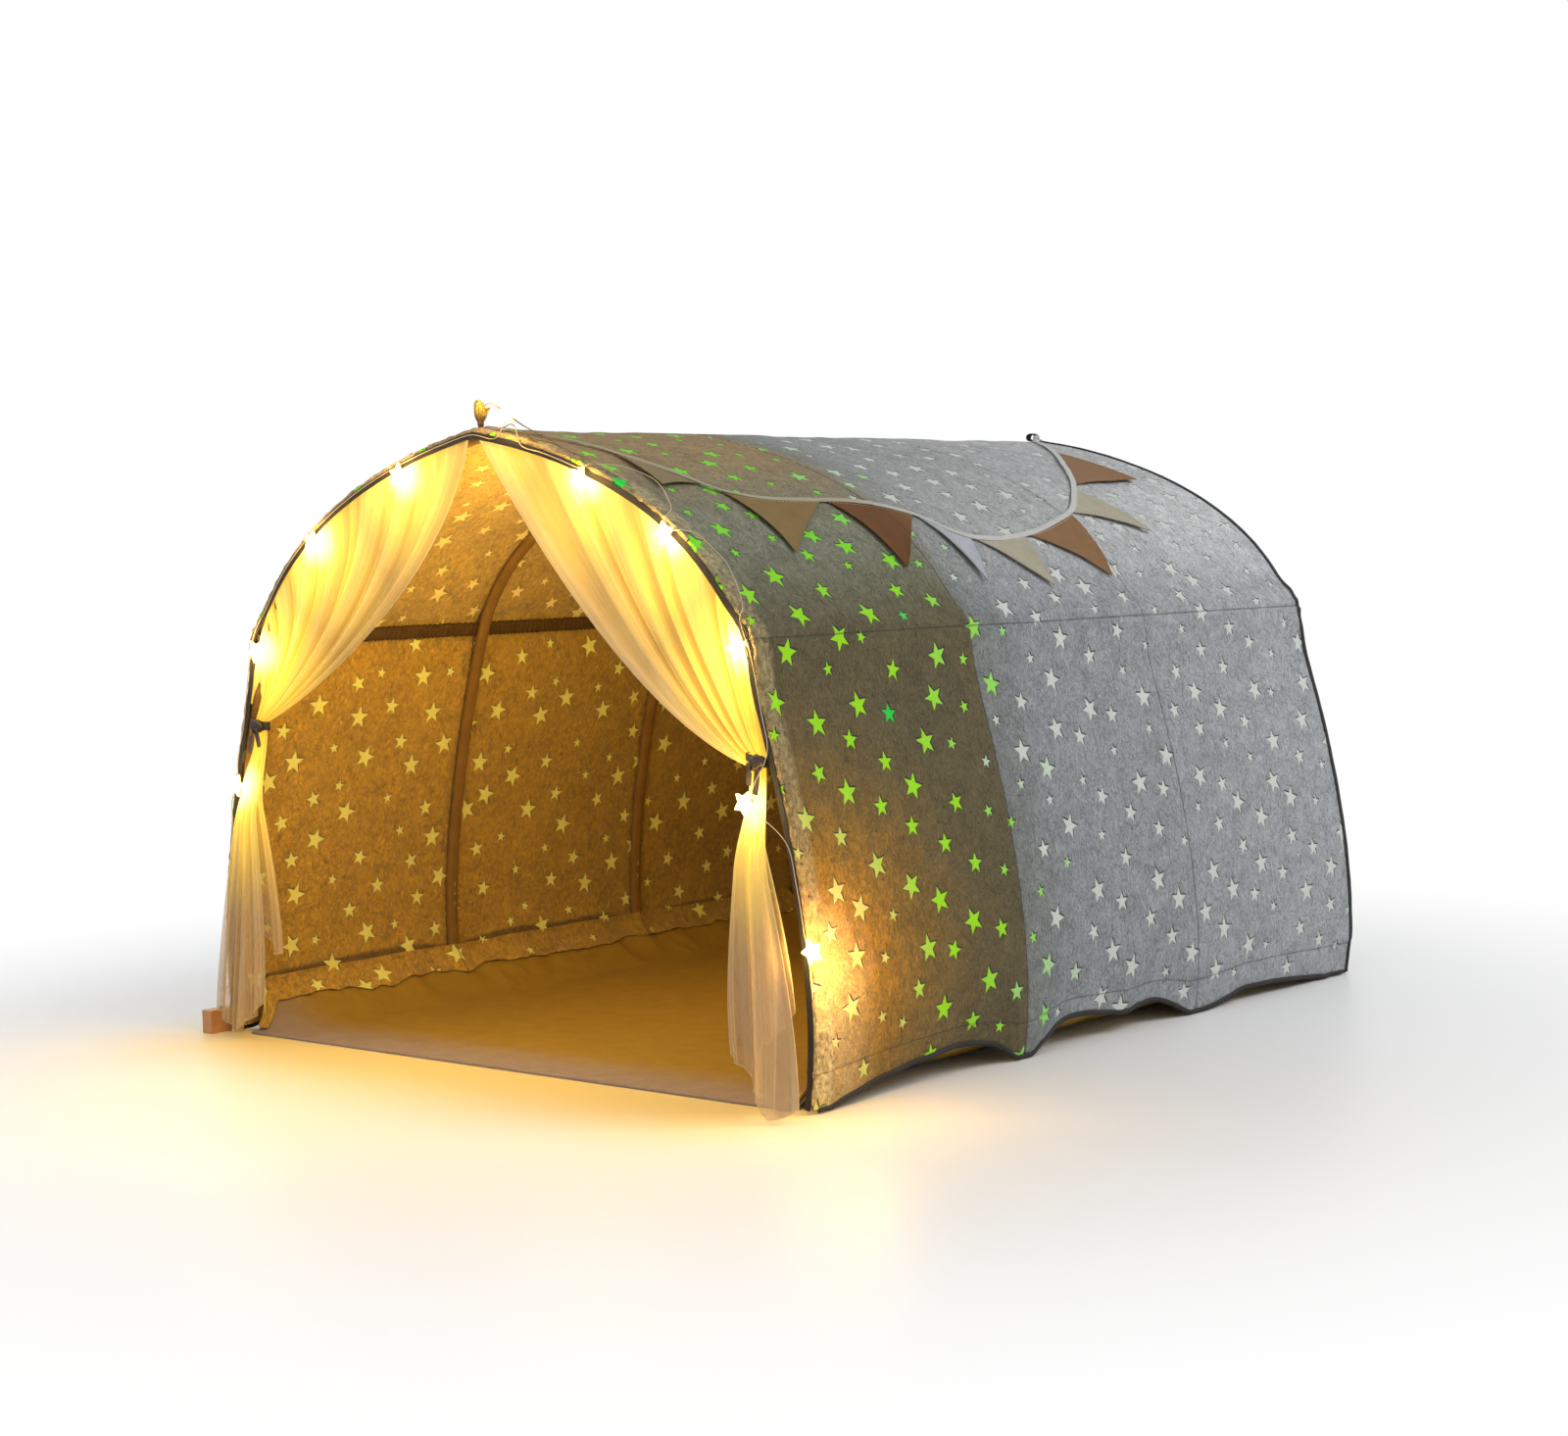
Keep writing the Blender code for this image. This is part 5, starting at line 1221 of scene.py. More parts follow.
# %% Canopy
# Rows that turn the fleece over the front edge: forward, lift and facing in degrees
FRONT_ROLL = [(-0.0002, -0.0062, 90), (-0.0006, -0.0048, 85), (-0.0008, -0.0032, 76), (-0.0007, -0.0018, 62),
              (-0.0004, -0.0007, 44)]


def canopy_cloth():
    """Roof and walls in one sheet of fleece, with the lining as its inner skin."""
    ys = clustered(FRONT_Y, CANOPY_REAR_Y, 0.0068, 0.0015, [HOOP_Y[1], HOOP_Y[2]], 0.006)
    ys = np.unique(np.concatenate([ys[ys > FRONT_Y + 0.036], np.arange(FRONT_Y, FRONT_Y + 0.036, 0.0021)]))
    turned = len(FRONT_ROLL)
    reach, raised, facing = (np.array(column) for column in zip(*FRONT_ROLL))
    map_y = np.concatenate([FRONT_Y - 0.0015 * np.arange(turned, 0, -1), ys])
    raised = np.concatenate([raised, 0.0014 * hump(ys - FRONT_Y - 0.009, 0.008)])
    facing = np.concatenate([np.radians(facing), 0.45 * np.exp((FRONT_Y - ys) / 0.002)])
    forward = np.concatenate([reach, 0 * ys])[:, None]
    ys = np.concatenate([np.full(turned, FRONT_Y), ys])
    foot = place_at_height(HEM_HEIGHT + hem_rise(ys))
    foot_arc = arc(foot)
    roof = place_at(clustered(0, EAVE_ARC, 0.0070, 0.0025, [EAVE_ARC], 0.02))
    typical = float(foot_arc.mean())
    seams_at = [EAVE_ARC + 0.004, typical - SEAM_ABOVE_HEM, typical]
    wall = clustered(EAVE_ARC, typical, 0.0070, 0.0018, seams_at, 0.006)
    wall = (wall[1:] - EAVE_ARC) / (typical - EAVE_ARC)
    arcs = np.concatenate([np.broadcast_to(arc(roof), (len(ys), len(roof))),
                           EAVE_ARC + (foot_arc[:, None] - EAVE_ARC) * wall[None]], 1)
    places = place_at(arcs)
    y = ys[:, None]
    halves = []
    for side in (-1, 1):
        at_hem = 1 - smooth_step((foot_arc[:, None] - arcs) / 0.012)
        points = skin(side * places, y, raised[:, None] * (1 - at_hem))
        points[..., 0] = np.abs(points[..., 0])
        slope = np.gradient(points, axis=1)
        normal = unit(np.stack([-slope[..., 2], 0 * slope[..., 0], slope[..., 0]], -1))
        normal[:, 0] = (0, 0, 1)
        facing_here = facing[:, None, None]
        normal = np.cos(facing_here) * normal - np.sin(facing_here) * np.array([0.0, 1.0, 0.0])
        points[..., 1] += forward
        inner = points - CLOTH * normal
        front = 1 - smooth_step((y - FRONT_Y - 0.022) / 0.014)
        tufts = 0.0016 * noise(side * arcs, y, 0.0062, 12) + 0.0008 * noise(side * arcs, y, 0.0034, 13)
        outer = points + np.maximum(tufts * front, -0.0006)[..., None] * normal
        halves.append((outer, inner, side * arcs))
    joined = []
    for left, right in zip(*halves):
        if left.ndim == 3:
            left = left * np.array([-1, 1, 1])
        joined.append(np.concatenate([left[:, :0:-1], right], 1))
    outer, inner, across = joined
    coords = together(across, map_y[:, None])
    above = foot_arc[:, None] - np.abs(across)
    above_seam = above + SEAM_DIP * hem_rise(y) - SEAM_ABOVE_HEM
    part = sheet_part(outer, inner, coords, (0, 1, 0))
    cloth = make("canopy_cloth", [part], ["fleece", "lining"],
                 {"above_seam": np.concatenate([above_seam.ravel()] * 2)})
    keep(cloth, "fleece", "roof_panel", "wall_panel_left", "wall_panel_right")


canopy_cloth()


# %% [markdown]
# ## Rear panel
# The closed end is cut to the arch and sewn to the last hoop. A flat face would look like a board, so it
# is drawn a little inwards at its middle, with soft pulls towards its edge.

# %% Rear panel
def rear_cloth():
    """The closed end, drawn in a little at its middle, with soft pulls towards the hoop."""
    places = np.concatenate([place_at(np.linspace(0.0, EAVE_ARC, 70)),
                             place_at(np.linspace(EAVE_ARC, float(arc(place_at_height(REAR_FOOT))), 72))[1:]])
    edge = skin(places, REAR_Y)
    share = np.linspace(-1, 1, 111)[None]
    x = share * np.maximum(edge[:, :1] - 0.0004, 0.0)
    z = np.broadcast_to(edge[:, 2:], x.shape)
    below = np.clip((RIDGE_HEIGHT - z) / 0.2, 0, 1)
    above = smooth_step((z - REAR_FOOT) / 0.05)
    inset = 1 - share**2
    dip = 0.0058 * inset * below**2 * above
    angle = np.arctan2(z - 0.33, x)
    pull = 0.0012 * np.sin(13 * angle + 2 * noise(x, z, 0.2, 21)) * inset * (1 - inset) * 4 * below * above
    wave = 0.0012 * noise(x, z, 0.07, 22) * np.minimum(1, inset * 3) * below * above
    y = REAR_Y - dip + np.minimum(pull + wave, dip * 0.9)
    outer = np.stack([x, y, z], -1)
    inner = np.stack([x, y - CLOTH, z], -1)
    part = sheet_part(outer, inner, np.stack([x, z], -1), (0, 1, 0))
    cloth = keep(make("rear_cloth", [part], ["rear_fleece", "rear_lining"]), "fleece", "rear_panel")


rear_cloth()


# %% [markdown]
# ## Floor sheet
# The floor sheet lies flat and goes up the walls' inside to its seam. A plate and two strips would show
# a joint, so one grid makes all of it. Its sides are a crumpled curve from the floor to the wall.

# %% Floor sheet
COVE_X, FLOOR_END_X, FLOOR_MIDDLE, FLOOR_CLOTH = 0.398, 0.4560, 0.0028, 0.0022


def cove(side, ys, t, lift=0.0):
    """The floor sheet's side, from flat (t = 0) up the wall's inside (t = 1), or lift above it."""
    inwards = 0.0045 + 0.0125 * np.minimum(sum(hump(ys - hoop, 0.022) for hoop in HOOP_Y), 1)
    risen = smooth_step((ys - FRONT_Y - 0.010) / 0.050) * smooth_step((0.5560 - ys) / 0.030)
    top = 0.0600 + 0.0030 * noise(ys, 0 * ys, 0.07, 33)
    wall = skin(side * place_at_height(top), ys, -inwards)
    end_x = FLOOR_END_X + (np.abs(wall[..., 0]) - FLOOR_END_X) * risen
    end_z = 0.0030 + (wall[..., 2] - 0.0030) * risen
    x = bezier([COVE_X + 0 * ys, COVE_X + 0.030 + 0 * ys, end_x - 0.010, end_x], t)
    low = FLOOR_MIDDLE + 0 * ys
    z = bezier([low, low, FLOOR_MIDDLE + (end_z - FLOOR_MIDDLE) * 0.45, end_z], t)
    fall = np.sin(np.pi * t) ** 0.7 * risen
    crumple = 0.0030 * noise(ys, side * t * 0.05, 0.028, 35) + 0.0014 * noise(ys, t * 0.05, 0.012, 36)
    x, z = x - crumple * fall, z + np.maximum(crumple * fall, 0)
    middle = together(side * x, ys, z)
    return middle + lift * upwards(middle)


def floor_cloth():
    """The floor sheet, with a rolled front hem and sides that rise to their seams on the walls."""
    front, back = FRONT_Y + 0.002, REAR_Y - CLOTH - 0.0002
    y, t = np.linspace(front, back, 190)[:, None], np.linspace(0, 1, 26)[None]
    x = np.linspace(-COVE_X, COVE_X, 96)[1:-1][None]
    wave = 0.0006 * noise(x, y, 0.06, 31) * smooth_step((COVE_X - np.abs(x)) / 0.05)
    wave = np.minimum(wave * smooth_step((y - front) / 0.03), 0.0003)
    flat = together(x, y, FLOOR_MIDDLE + wave)
    middle = np.concatenate([cove(-1, y, t)[:, ::-1], flat, cove(1, y, t)], 1)
    facing = upwards(middle)
    across = run_along(middle, 1)
    across = across - across[:, -1:] / 2
    coords = together(across, y)
    part = sheet_part(middle, middle - FLOOR_CLOTH * facing, coords, (0, 0, 0))
    cloth = make("floor_cloth", [part], ["floor"])
    keep(cloth, "floor_cloth", "floor_sheet")
    line = together(np.linspace(-FLOOR_END_X, FLOOR_END_X, 200), front + 0.0035, 0.0019)
    line[:, 2] += 0.0001 * np.sin(line[:, 0] * 60)
    edging = keep(make("floor_hem", [swept(line, (0, 1, 0), rounded(0.0048, 0.0018, 14, 0.5))],
                       ["floor"]), "floor_cloth")


floor_cloth()


# %% [markdown]
# ## Loose strips over the floor's sides
# Along each wall a strip of fleece hangs over the floor sheet's seam. It follows the same curve a little
# above it, so the two can't cut through each other, and ends in an uneven edge.

# %% Hem strips
def hem_flap(name, side):
    """A loose strip of the fleece inside, sewn to the wall above the floor sheet and lying over its side."""
    ys = np.arange(FRONT_Y + 0.014, 0.5450, 0.0042)[:, None]
    reach = 0.34 + 0.05 * noise(ys, 0 * ys, 0.045, 37) + 0.03 * noise(ys, 0 * ys, 0.017, 38)
    share = np.linspace(0, 1, 18)[None]
    t = 1 - reach * share
    middle = cove(side, ys, t, 0.0008) + np.array([0, 0, 1.0]) * (
        0.0022 + 0.0022 * np.clip(noise(ys, share * 0.03, 0.02, 39), 0, 1) * share)[..., None]
    middle[:, :2, 2] += np.array([0.0045, 0.0012])
    down = run_along(middle, 1)
    facing = upwards(middle)
    coords = together(side * (arc(place_at_height(0.062)) + down), ys)
    part = sheet_part(middle + 0.0006 * facing, middle - 0.0006 * facing, coords, (0, 0, 0))
    piece = make(name, [part], ["lining"], {"above_seam": np.ones(2 * middle.shape[0] * middle.shape[1])})
    keep(piece, "fleece")


hem_flap("hem_flap_left", -1)
hem_flap("hem_flap_right", 1)


# %% [markdown]
# ## Hoop sleeves
# Each hoop runs in a flat sewn tube inside the tent. A curve object with a round bevel would look like
# a hose. Rings of points can be ovals that pucker along the tube's seams.

# %% Sleeves
def hoop_sleeve(number, y):
    """A sewn tube over a hoop, puckered by its two seams."""
    places = np.concatenate([np.linspace(0, 0.08, 8)[:-1], np.linspace(0.08, 2, 260)])
    point, normal = outline(places)
    centre = point + SLEEVE_LIFT * normal
    keep_rows = centre[:, 1] >= SLEEVE_FOOT
    places, centre, normal = places[keep_rows], centre[keep_rows], normal[keep_rows]
    centre[0] = (0.0, RIDGE_HEIGHT + SLEEVE_LIFT / math.cos(RIDGE_PITCH))
    normal[0] = (0, 1)
    mirror = np.array([-1, 1])
    line = np.concatenate([centre[:0:-1] * mirror, centre])
    out = np.concatenate([normal[:0:-1] * mirror, normal])
    run = lengths(line)
    turns = np.linspace(0, 2 * np.pi, 20, endpoint=False)
    drift = 3 * noise(run, 0 * run, 0.07, number)[:, None]
    ripple = 1 + 0.06 * np.sin(run[:, None] * 2 * np.pi / 0.016 + drift + 2 * np.cos(turns)[None])
    ripple = ripple + 0.05 * noise(run[:, None], turns[None] * 0.01, 0.02, 40)
    ends = 1 + 0.05 * hump(run[:, None] - run[-1], 0.006) + 0.05 * hump(run[:, None], 0.006)
    wide = SLEEVE_HALF_WIDTH * np.cos(turns)[None] * (0.985 + 0.015 * ripple) * ends
    deep = SLEEVE_HALF_DEPTH * squarer(np.sin(turns), 0.8) * np.minimum(ripple, 1.06)
    points = together(line[:, None, 0] + deep * out[:, None, 0], y + wide,
                      line[:, None, 1] + deep * out[:, None, 1])
    coords = together(run[:, None], np.linspace(0, 0.055, 21)[None])
    inner = np.linspace(1, 0.75, 2)[:, None, None]
    for end, row in ((0, points[0]), (-1, points[-1])):
        middle = row.mean(0)
        lip = middle + (row - middle) * inner
        lip = lip[::-1] if end == 0 else lip
        points = np.concatenate([lip[:1], points] if end == 0 else [points, lip[-1:]])
    coords = np.concatenate([coords[:1], coords, coords[-1:]])
    part = tube_part(points, coords, 0, False)
    keep(make(f"sleeve_{number}", [part], ["sleeve"]), "sleeve_cloth", f"hoop_{number}_sleeve")


for hoop_number, hoop_y in enumerate(HOOP_Y, 1):
    hoop_sleeve(hoop_number, hoop_y)


# %% [markdown]
# ## Eave bands
# A pole under each eave is covered by dark cloth that is too long for it, so it gathers in small pleats.
# They would do as a bump in the middle of the band, but not at its edges, so they are in its rings.

# %% Gathered band
BAND_HALF_HEIGHT, BAND_HALF_DEPTH = 0.0099, 0.0054


def eave_band(name, side):
    """A dark band gathered over the eave pole."""
    start, end = FRONT_Y + 0.001, CANOPY_REAR_Y - 0.001
    point, normal = outline(1.0)
    centre = point + EAVE_LIFT * normal
    slope = np.array([-normal[1], normal[0]])
    ys = np.arange(start, end, 0.0019)[:, None]
    turns = np.linspace(0, 2 * np.pi, 24, endpoint=False)[None]
    phase = 2 * np.pi * ys / 0.0085 + 6 * noise(ys, 0 * ys, 0.05, 51) + 1.5 * np.sin(turns + 4 * ys / 0.05)
    gather = np.sin(phase) + 0.5 * noise(ys, turns * 0.01, 0.006, 52)
    up = BAND_HALF_HEIGHT * squarer(np.cos(turns), 0.8) * (0.90 + 0.08 * gather)
    out = BAND_HALF_DEPTH * squarer(np.sin(turns), 0.7) * (0.90 + 0.09 * gather)
    x = side * (centre[0] + up * slope[0] + out * normal[0])
    z = centre[1] + up * slope[1] + out * normal[1]
    points = together(x, ys, z)
    coords = together(ys, np.linspace(0, 0.05, 25)[None])
    piece = make(f"eave_band_{name}", [tube_part(points, coords)], ["eave"])
    keep(piece, "eave_cloth", f"eave_sleeve_{name}")


# %% [markdown]
# ## Arch tapes
# Black tape binds both ends of the canopy. It could be a flat strip. Here its section is folded round the
# cloth's edge, as sewn tape is, and carried along the arch just outside the skin.

# %% Tape round an arch
FRONT_SECTION = [(-0.0106, 0.0009), (-0.0070, 0.0008), (-0.0036, 0.0009), (-0.0031, 0.0014),
                 (-0.0036, 0.0021), (-0.0070, 0.0022), (-0.0104, 0.0021), (-0.0111, 0.0015)]
REAR_SECTION = [(-0.0064, 0.0004), (-0.0030, 0.0003), (0.0002, 0.0003), (0.0006, -0.0003), (0.0006, -0.0046),
                (0.0013, -0.0050), (0.0020, -0.0046), (0.0021, -0.0025), (0.0020, 0.0008), (0.0013, 0.0017),
                (0.0003, 0.0019), (-0.0030, 0.0018), (-0.0060, 0.0018), (-0.0068, 0.0012)]


def arch_tape(name, edge_y, outward, section, node):
    """Black tape along an end of the canopy, through a section of lift and distance outward."""
    half = np.concatenate([place_at(np.linspace(0, EAVE_ARC, 120)),
                           place_at(np.linspace(EAVE_ARC, float(arc(place_at_height(0.0032))), 110))[1:]])
    places = np.concatenate([-half[:0:-1], half])
    section = np.array(section)
    run = arc(places)
    lift = section[None, :, 0] + 0.0002 * noise(run[:, None], section[None, :, 1] * 3, 0.012, 61)
    base = skin(places, np.full_like(places, edge_y))
    _, normal = outline(np.abs(places))
    normal[len(half) - 1] = (0, 1)
    normal[:, 0] = np.where(places < 0, -normal[:, 0], normal[:, 0])
    wave = 0.0003 * noise(run[:, None], 0 * section[None, :, 0], 0.03, 62)
    points = together(base[:, None, 0] + lift * normal[:, None, 0],
                      edge_y + outward * (section[None, :, 1] + wave),
                      base[:, None, 2] + lift * normal[:, None, 1])
    around = lengths(np.concatenate([section, section[:1]]))
    coords = together(run[:, None], around[None])
    keep(make(name, [tube_part(points, coords)], ["binding"]), "binding", node)


# %% [markdown]
# ## Hem tapes
# The same kind of tape binds the hems. Drawn by hand it would miss some waves, so it asks the canopy for
# its lowest points, and is kept off the ground.

# %% Tape along a hem
HEM_SECTION = [(0.0006, 0.0002), (0.0011, 0.0010), (0.0006, 0.0018), (-0.0016, 0.0022), (-0.0040, 0.0019),
               (-0.0053, 0.0008), (-0.0054, -0.0006), (-0.0046, -0.0018), (-0.0026, -0.0014),
               (-0.0034, 0.0000), (-0.0014, 0.0004)]


def hem_tape(name, side):
    """The tape along a wall's hem."""
    ys = np.arange(FRONT_Y + 0.0083, REAR_Y - 0.0083, 0.004)
    foot = place_at_height(HEM_HEIGHT + hem_rise(ys))
    corner = skin(side * foot, ys)
    above = skin(side * place_at(arc(foot) - 0.012), ys)
    up = unit(above - corner)
    ahead = unit(np.gradient(corner, axis=0))
    out = unit(np.cross(up, ahead)) * side
    out = np.where((out[:, :1] * side) < 0, -out, out)
    section = np.array(HEM_SECTION)
    wave = 0.0003 * noise(ys[:, None], section[None, :, 0] * 3, 0.010, 71)
    points = corner[:, None] + section[None, :, :1] * up[:, None]
    points = points + (section[None, :, 1:] + wave[..., None]) * out[:, None]
    points[..., 2] = np.maximum(points[..., 2], 0.0012)
    around = lengths(np.concatenate([section, section[:1]]))
    coords = together(ys[:, None], around[None])
    keep(make(f"hem_tape_{name}", [tube_part(points, coords)], ["binding"]), "binding", f"hem_binding_{name}")


for side_name, side_sign in (("left", -1), ("right", 1)):
    eave_band(side_name, side_sign)
    hem_tape(side_name, side_sign)
arch_tape("front_tape", FRONT_Y, -1, FRONT_SECTION, "front_binding")
arch_tape("rear_tape", REAR_Y, 1, REAR_SECTION, "rear_binding")


# %% [markdown]
# ## Curtains
# Two layers of net hang on each side. They are gathered along the front hoop, swept to the leg, tied
# there, and spread out again below. A cloth simulation could do that, but hardly twice alike. So curves
# from hoop to tie give the sweep, and waves across them give the pleats.

# %% Where the curtains hang
CURTAINS = {
    "left": {"side": -1, "tie": 0.398, "ridge_at": 1.985, "near": (-0.0929, -0.0181),
             "far": (-0.0141, -0.0527), "end": 0.004},
    "right": {"side": 1, "tie": 0.374, "ridge_at": 1.99, "near": (-0.085, 0.030),
              "far": (-0.050, -0.072), "end": -0.006},
}
CURTAIN_TOP_LIFT = -0.0060
BUNCH = 0.012
TIE_Y, TOP_Y = FRONT_Y + 0.004, FRONT_Y + 0.0012


def tie_x_at(tie):
    point, normal = outline(float(place_at_height(tie)))
    return float(point[0] + (-0.0178 - 0.015) * normal[0])


# %% [markdown]
# ## Pleats
# Real pleats drift, merge and differ in depth. So the wave's phase is moved by slow noise instead of
# repeating one fold.

# %% Uneven pleats
def folds(u, v, count, seed, wander=0.30):
    """Uneven, rounded-off pleats from -1 to 1 that fade to the cloth's two edges."""
    drift = 1.0 * noise(u * 3, v * 0.16, 0.5, seed) + wander * noise(u * 8, v * 0.30, 0.5, seed + 1)
    wave = np.sin(2 * np.pi * (count * u + drift)) * (0.72 + 0.28 * noise(u * 4, v * 0.35, 0.5, seed + 2))
    fine = 0.47 * wander * np.sin(2 * np.pi * (count * 2.3 * u + 2 * drift))
    return (wave + fine) * np.sqrt(np.clip(1 - (1 - 2 * u) ** 2, 0, 1)) / 1.1


# %% [markdown]
# ## One layer of net
# The upper part runs from the hoop to the tie, the lower part from the tie to the floor. Both are one
# grid, so no seam shows.

# %% A curtain layer
def curtain_layer(name, side, tie, ridge_at, near, far, end, seed, count, shift, foot, node=None,
                  material="tulle"):
    """Tulle from the front hoop, swept to the leg, gathered at its tie and spread down to the floor."""
    tie_x = tie_x_at(tie)
    u = np.linspace(0, 1, 181)[None]
    v = np.linspace(0, 1, 90)[:, None]
    place = 2 - (0.85 + (ridge_at - 0.85) * u)
    point, normal = outline(place)
    top = point + CURTAIN_TOP_LIFT * normal
    bunch = np.stack([tie_x + BUNCH * (1 - 2 * u), tie + 0.006 + (end - 0.006) * u], -1)
    near = top + (bunch - top) / 3 + np.array(near) * u[..., None]
    far = top + (bunch - top) * 2 / 3 + np.array(far) * u[..., None]
    xz = bezier([top, near, far, bunch], v[..., None])
    depth = 0.0012 + 0.0105 * np.sin(np.pi * np.clip(v, 0, 1) ** 0.8) ** 0.7 * (1 - 0.25 * v) + 0.0024 * v
    wave = folds(u, v, count, seed)
    y = TOP_Y + (TIE_Y - TOP_Y) * v + 0.0090 * np.sin(np.pi * v) + depth * wave
    y = np.maximum(y + shift * (0.25 + np.sin(np.pi * v)), FRONT_Y - 0.0034 * hump(v - 0.5, 0.48))
    upper = np.stack([side * xz[..., 0], y, xz[..., 1]], -1)
    w = np.linspace(0, 1, 90)[:, None]
    low = foot["low"] + foot["slant"] * np.abs(u - foot["corner"]) ** 1.3
    z = tie - 0.006 + (low - tie + 0.006) * w
    centre = tie_x + (foot["centre"] - tie_x) * w**1.15
    fan = smooth_step((w - 0.06) / 0.94) ** 0.8
    half = BUNCH + (foot["half"] - BUNCH) * fan
    reach = foot.get("reach", 0.0) * w**2 * np.exp(-(((u - foot["corner"]) / 0.35) ** 2))
    y = TIE_Y - 0.024 * smooth_step(w / 0.35) - reach + shift * np.sin(np.pi * np.clip(w, 0, 1)) * 0.5
    fine = folds(u, 1 + w, count * 0.50 + 1, seed + 4)
    sway = fine + (folds(u, 1 + w, 2.6, seed + 5, 0.06) - fine) * smooth_step((w - 0.02) / 0.26)
    y = np.clip(y + (0.0036 + 0.0085 * w) * sway, -0.6045 - reach, -0.5480)
    x = side * (centre + half * (1 - 2 * u))
    middle = np.concatenate([upper, together(x, y, z)], 0)
    pleat = np.concatenate([-wave, -sway], 0)
    normal, down = facing_of(middle), run_along(middle, 0)
    edge = np.minimum(np.minimum(down, down[-1:] - down), np.minimum(u, 1 - u) * 0.28)
    part = sheet_part(middle + 0.0002 * normal, middle - 0.0002 * normal,
                      together(u * 0.55, down), (0, 0, 0))
    piece = make(name, [part], [material], {"edge": np.concatenate([edge.ravel()] * 2),
                                            "pleat": np.concatenate([pleat.ravel()] * 2)}, sharp=180)
    keep(piece, "tulle", *([node] if node else []))
    return piece


# %% [markdown]
# ## Curtain ties
# Black ribbon is wound twice round the bunch, knotted in front and left with two short tails. A true
# knot couldn't be told at this size, so a creased ball on the windings stands for it.

# %% Wound ribbon and knot
def knot(name, side, tie, shift, tail):
    """A ribbon wound twice round the bunch, knotted in front, with two short tails."""
    tie_x = side * tie_x_at(tie)
    turns = np.linspace(0, 2 * np.pi, 60)
    parts = []
    for rise, lean in ((-0.0034, 0.0022), (0.0034, -0.0026)):
        line = np.stack([tie_x + (BUNCH + 0.0028) * np.cos(turns), TIE_Y + 0.0072 * np.sin(turns),
                         tie + rise + lean * np.cos(turns)], -1)
        parts.append(swept(line, (0, 0, 1), rounded(0.0042, 0.0009, 10)))
    front = np.array([tie_x + side * shift, TIE_Y - 0.0108, tie])
    ball = np.linspace(-1, 1, 15)
    spine = front + np.outer(ball, (0.0112, 0.0, 0.0034 * side))
    width = np.sqrt(np.clip(1 - ball**2, 0.03, 1)) * (1 + 0.12 * np.sin(ball * 9))
    parts.append(swept(spine, (0, 0, 1), rounded(0.0086, 0.0054, 16, 0.8), scale=width))
    for start, reach in tail:
        path = spread(front + np.array([(0, 0, 0), start, reach]) * (side, 1, 1), 24)
        turned = np.linspace(0.2, 1.6, 24)
        twist = np.stack([np.sin(turned), np.zeros(24), np.cos(turned)], -1)
        parts.append(swept(path, twist, rounded(0.0050, 0.0007, 10, 0.5),
                           scale=np.linspace(1.0, 0.75, 24)))
    keep(make(name, parts, ["ribbon"]), "ribbon", "curtain_tie_" + name.split("_")[-1])


# %% [markdown]
# ## Hanging the curtains
# Each lower end has its own length, width and corner, as net does that was pulled into place by hand.

# %% Curtains and ties in place
FEET = {
    "left": ({"low": 0.006, "slant": 0.09, "corner": 0.42, "centre": 0.449, "half": 0.049},
             {"low": 0.112, "slant": 0.06, "corner": 0.90, "centre": 0.402, "half": 0.042}),
    "right": ({"low": 0.0035, "slant": 0.075, "corner": 0.22, "centre": 0.451, "half": 0.058, "reach": 0.036},
              {"low": 0.060, "slant": 0.07, "corner": 0.80, "centre": 0.445, "half": 0.042}),
}
for side_name, row in CURTAINS.items():
    feet = FEET[side_name]
    seed = 80 if side_name == "left" else 90
    curtain_layer(f"curtain_front_{side_name}", **row, seed=seed, count=7.5, shift=0.0, foot=feet[0],
                  node=f"curtain_{side_name}")
    inner_row = dict(row, ridge_at=row["ridge_at"] - 0.06)
    curtain_layer(f"curtain_inner_{side_name}", **inner_row, seed=seed + 7, count=6, shift=0.006,
                  foot=feet[1], material="tulle_inner")
knot("tie_left", -1, 0.398, -0.004, [((0.004, -0.004, -0.012), (0.012, -0.003, -0.034)),
                                     ((-0.006, -0.004, -0.010), (-0.010, -0.004, -0.026))])
knot("tie_right", 1, 0.374, 0.008, [((0.003, -0.004, -0.014), (-0.001, -0.003, -0.034)),
                                    ((-0.007, -0.004, -0.010), (-0.009, -0.004, -0.024))])


# %% [markdown]
# ## Gold bow
# A gold ribbon is knotted over the ridge at the front. Its loops stand up, and thin strands curl over the
# roof. All could be curve objects, but a swept flat section keeps the ribbon's width turned to the front.

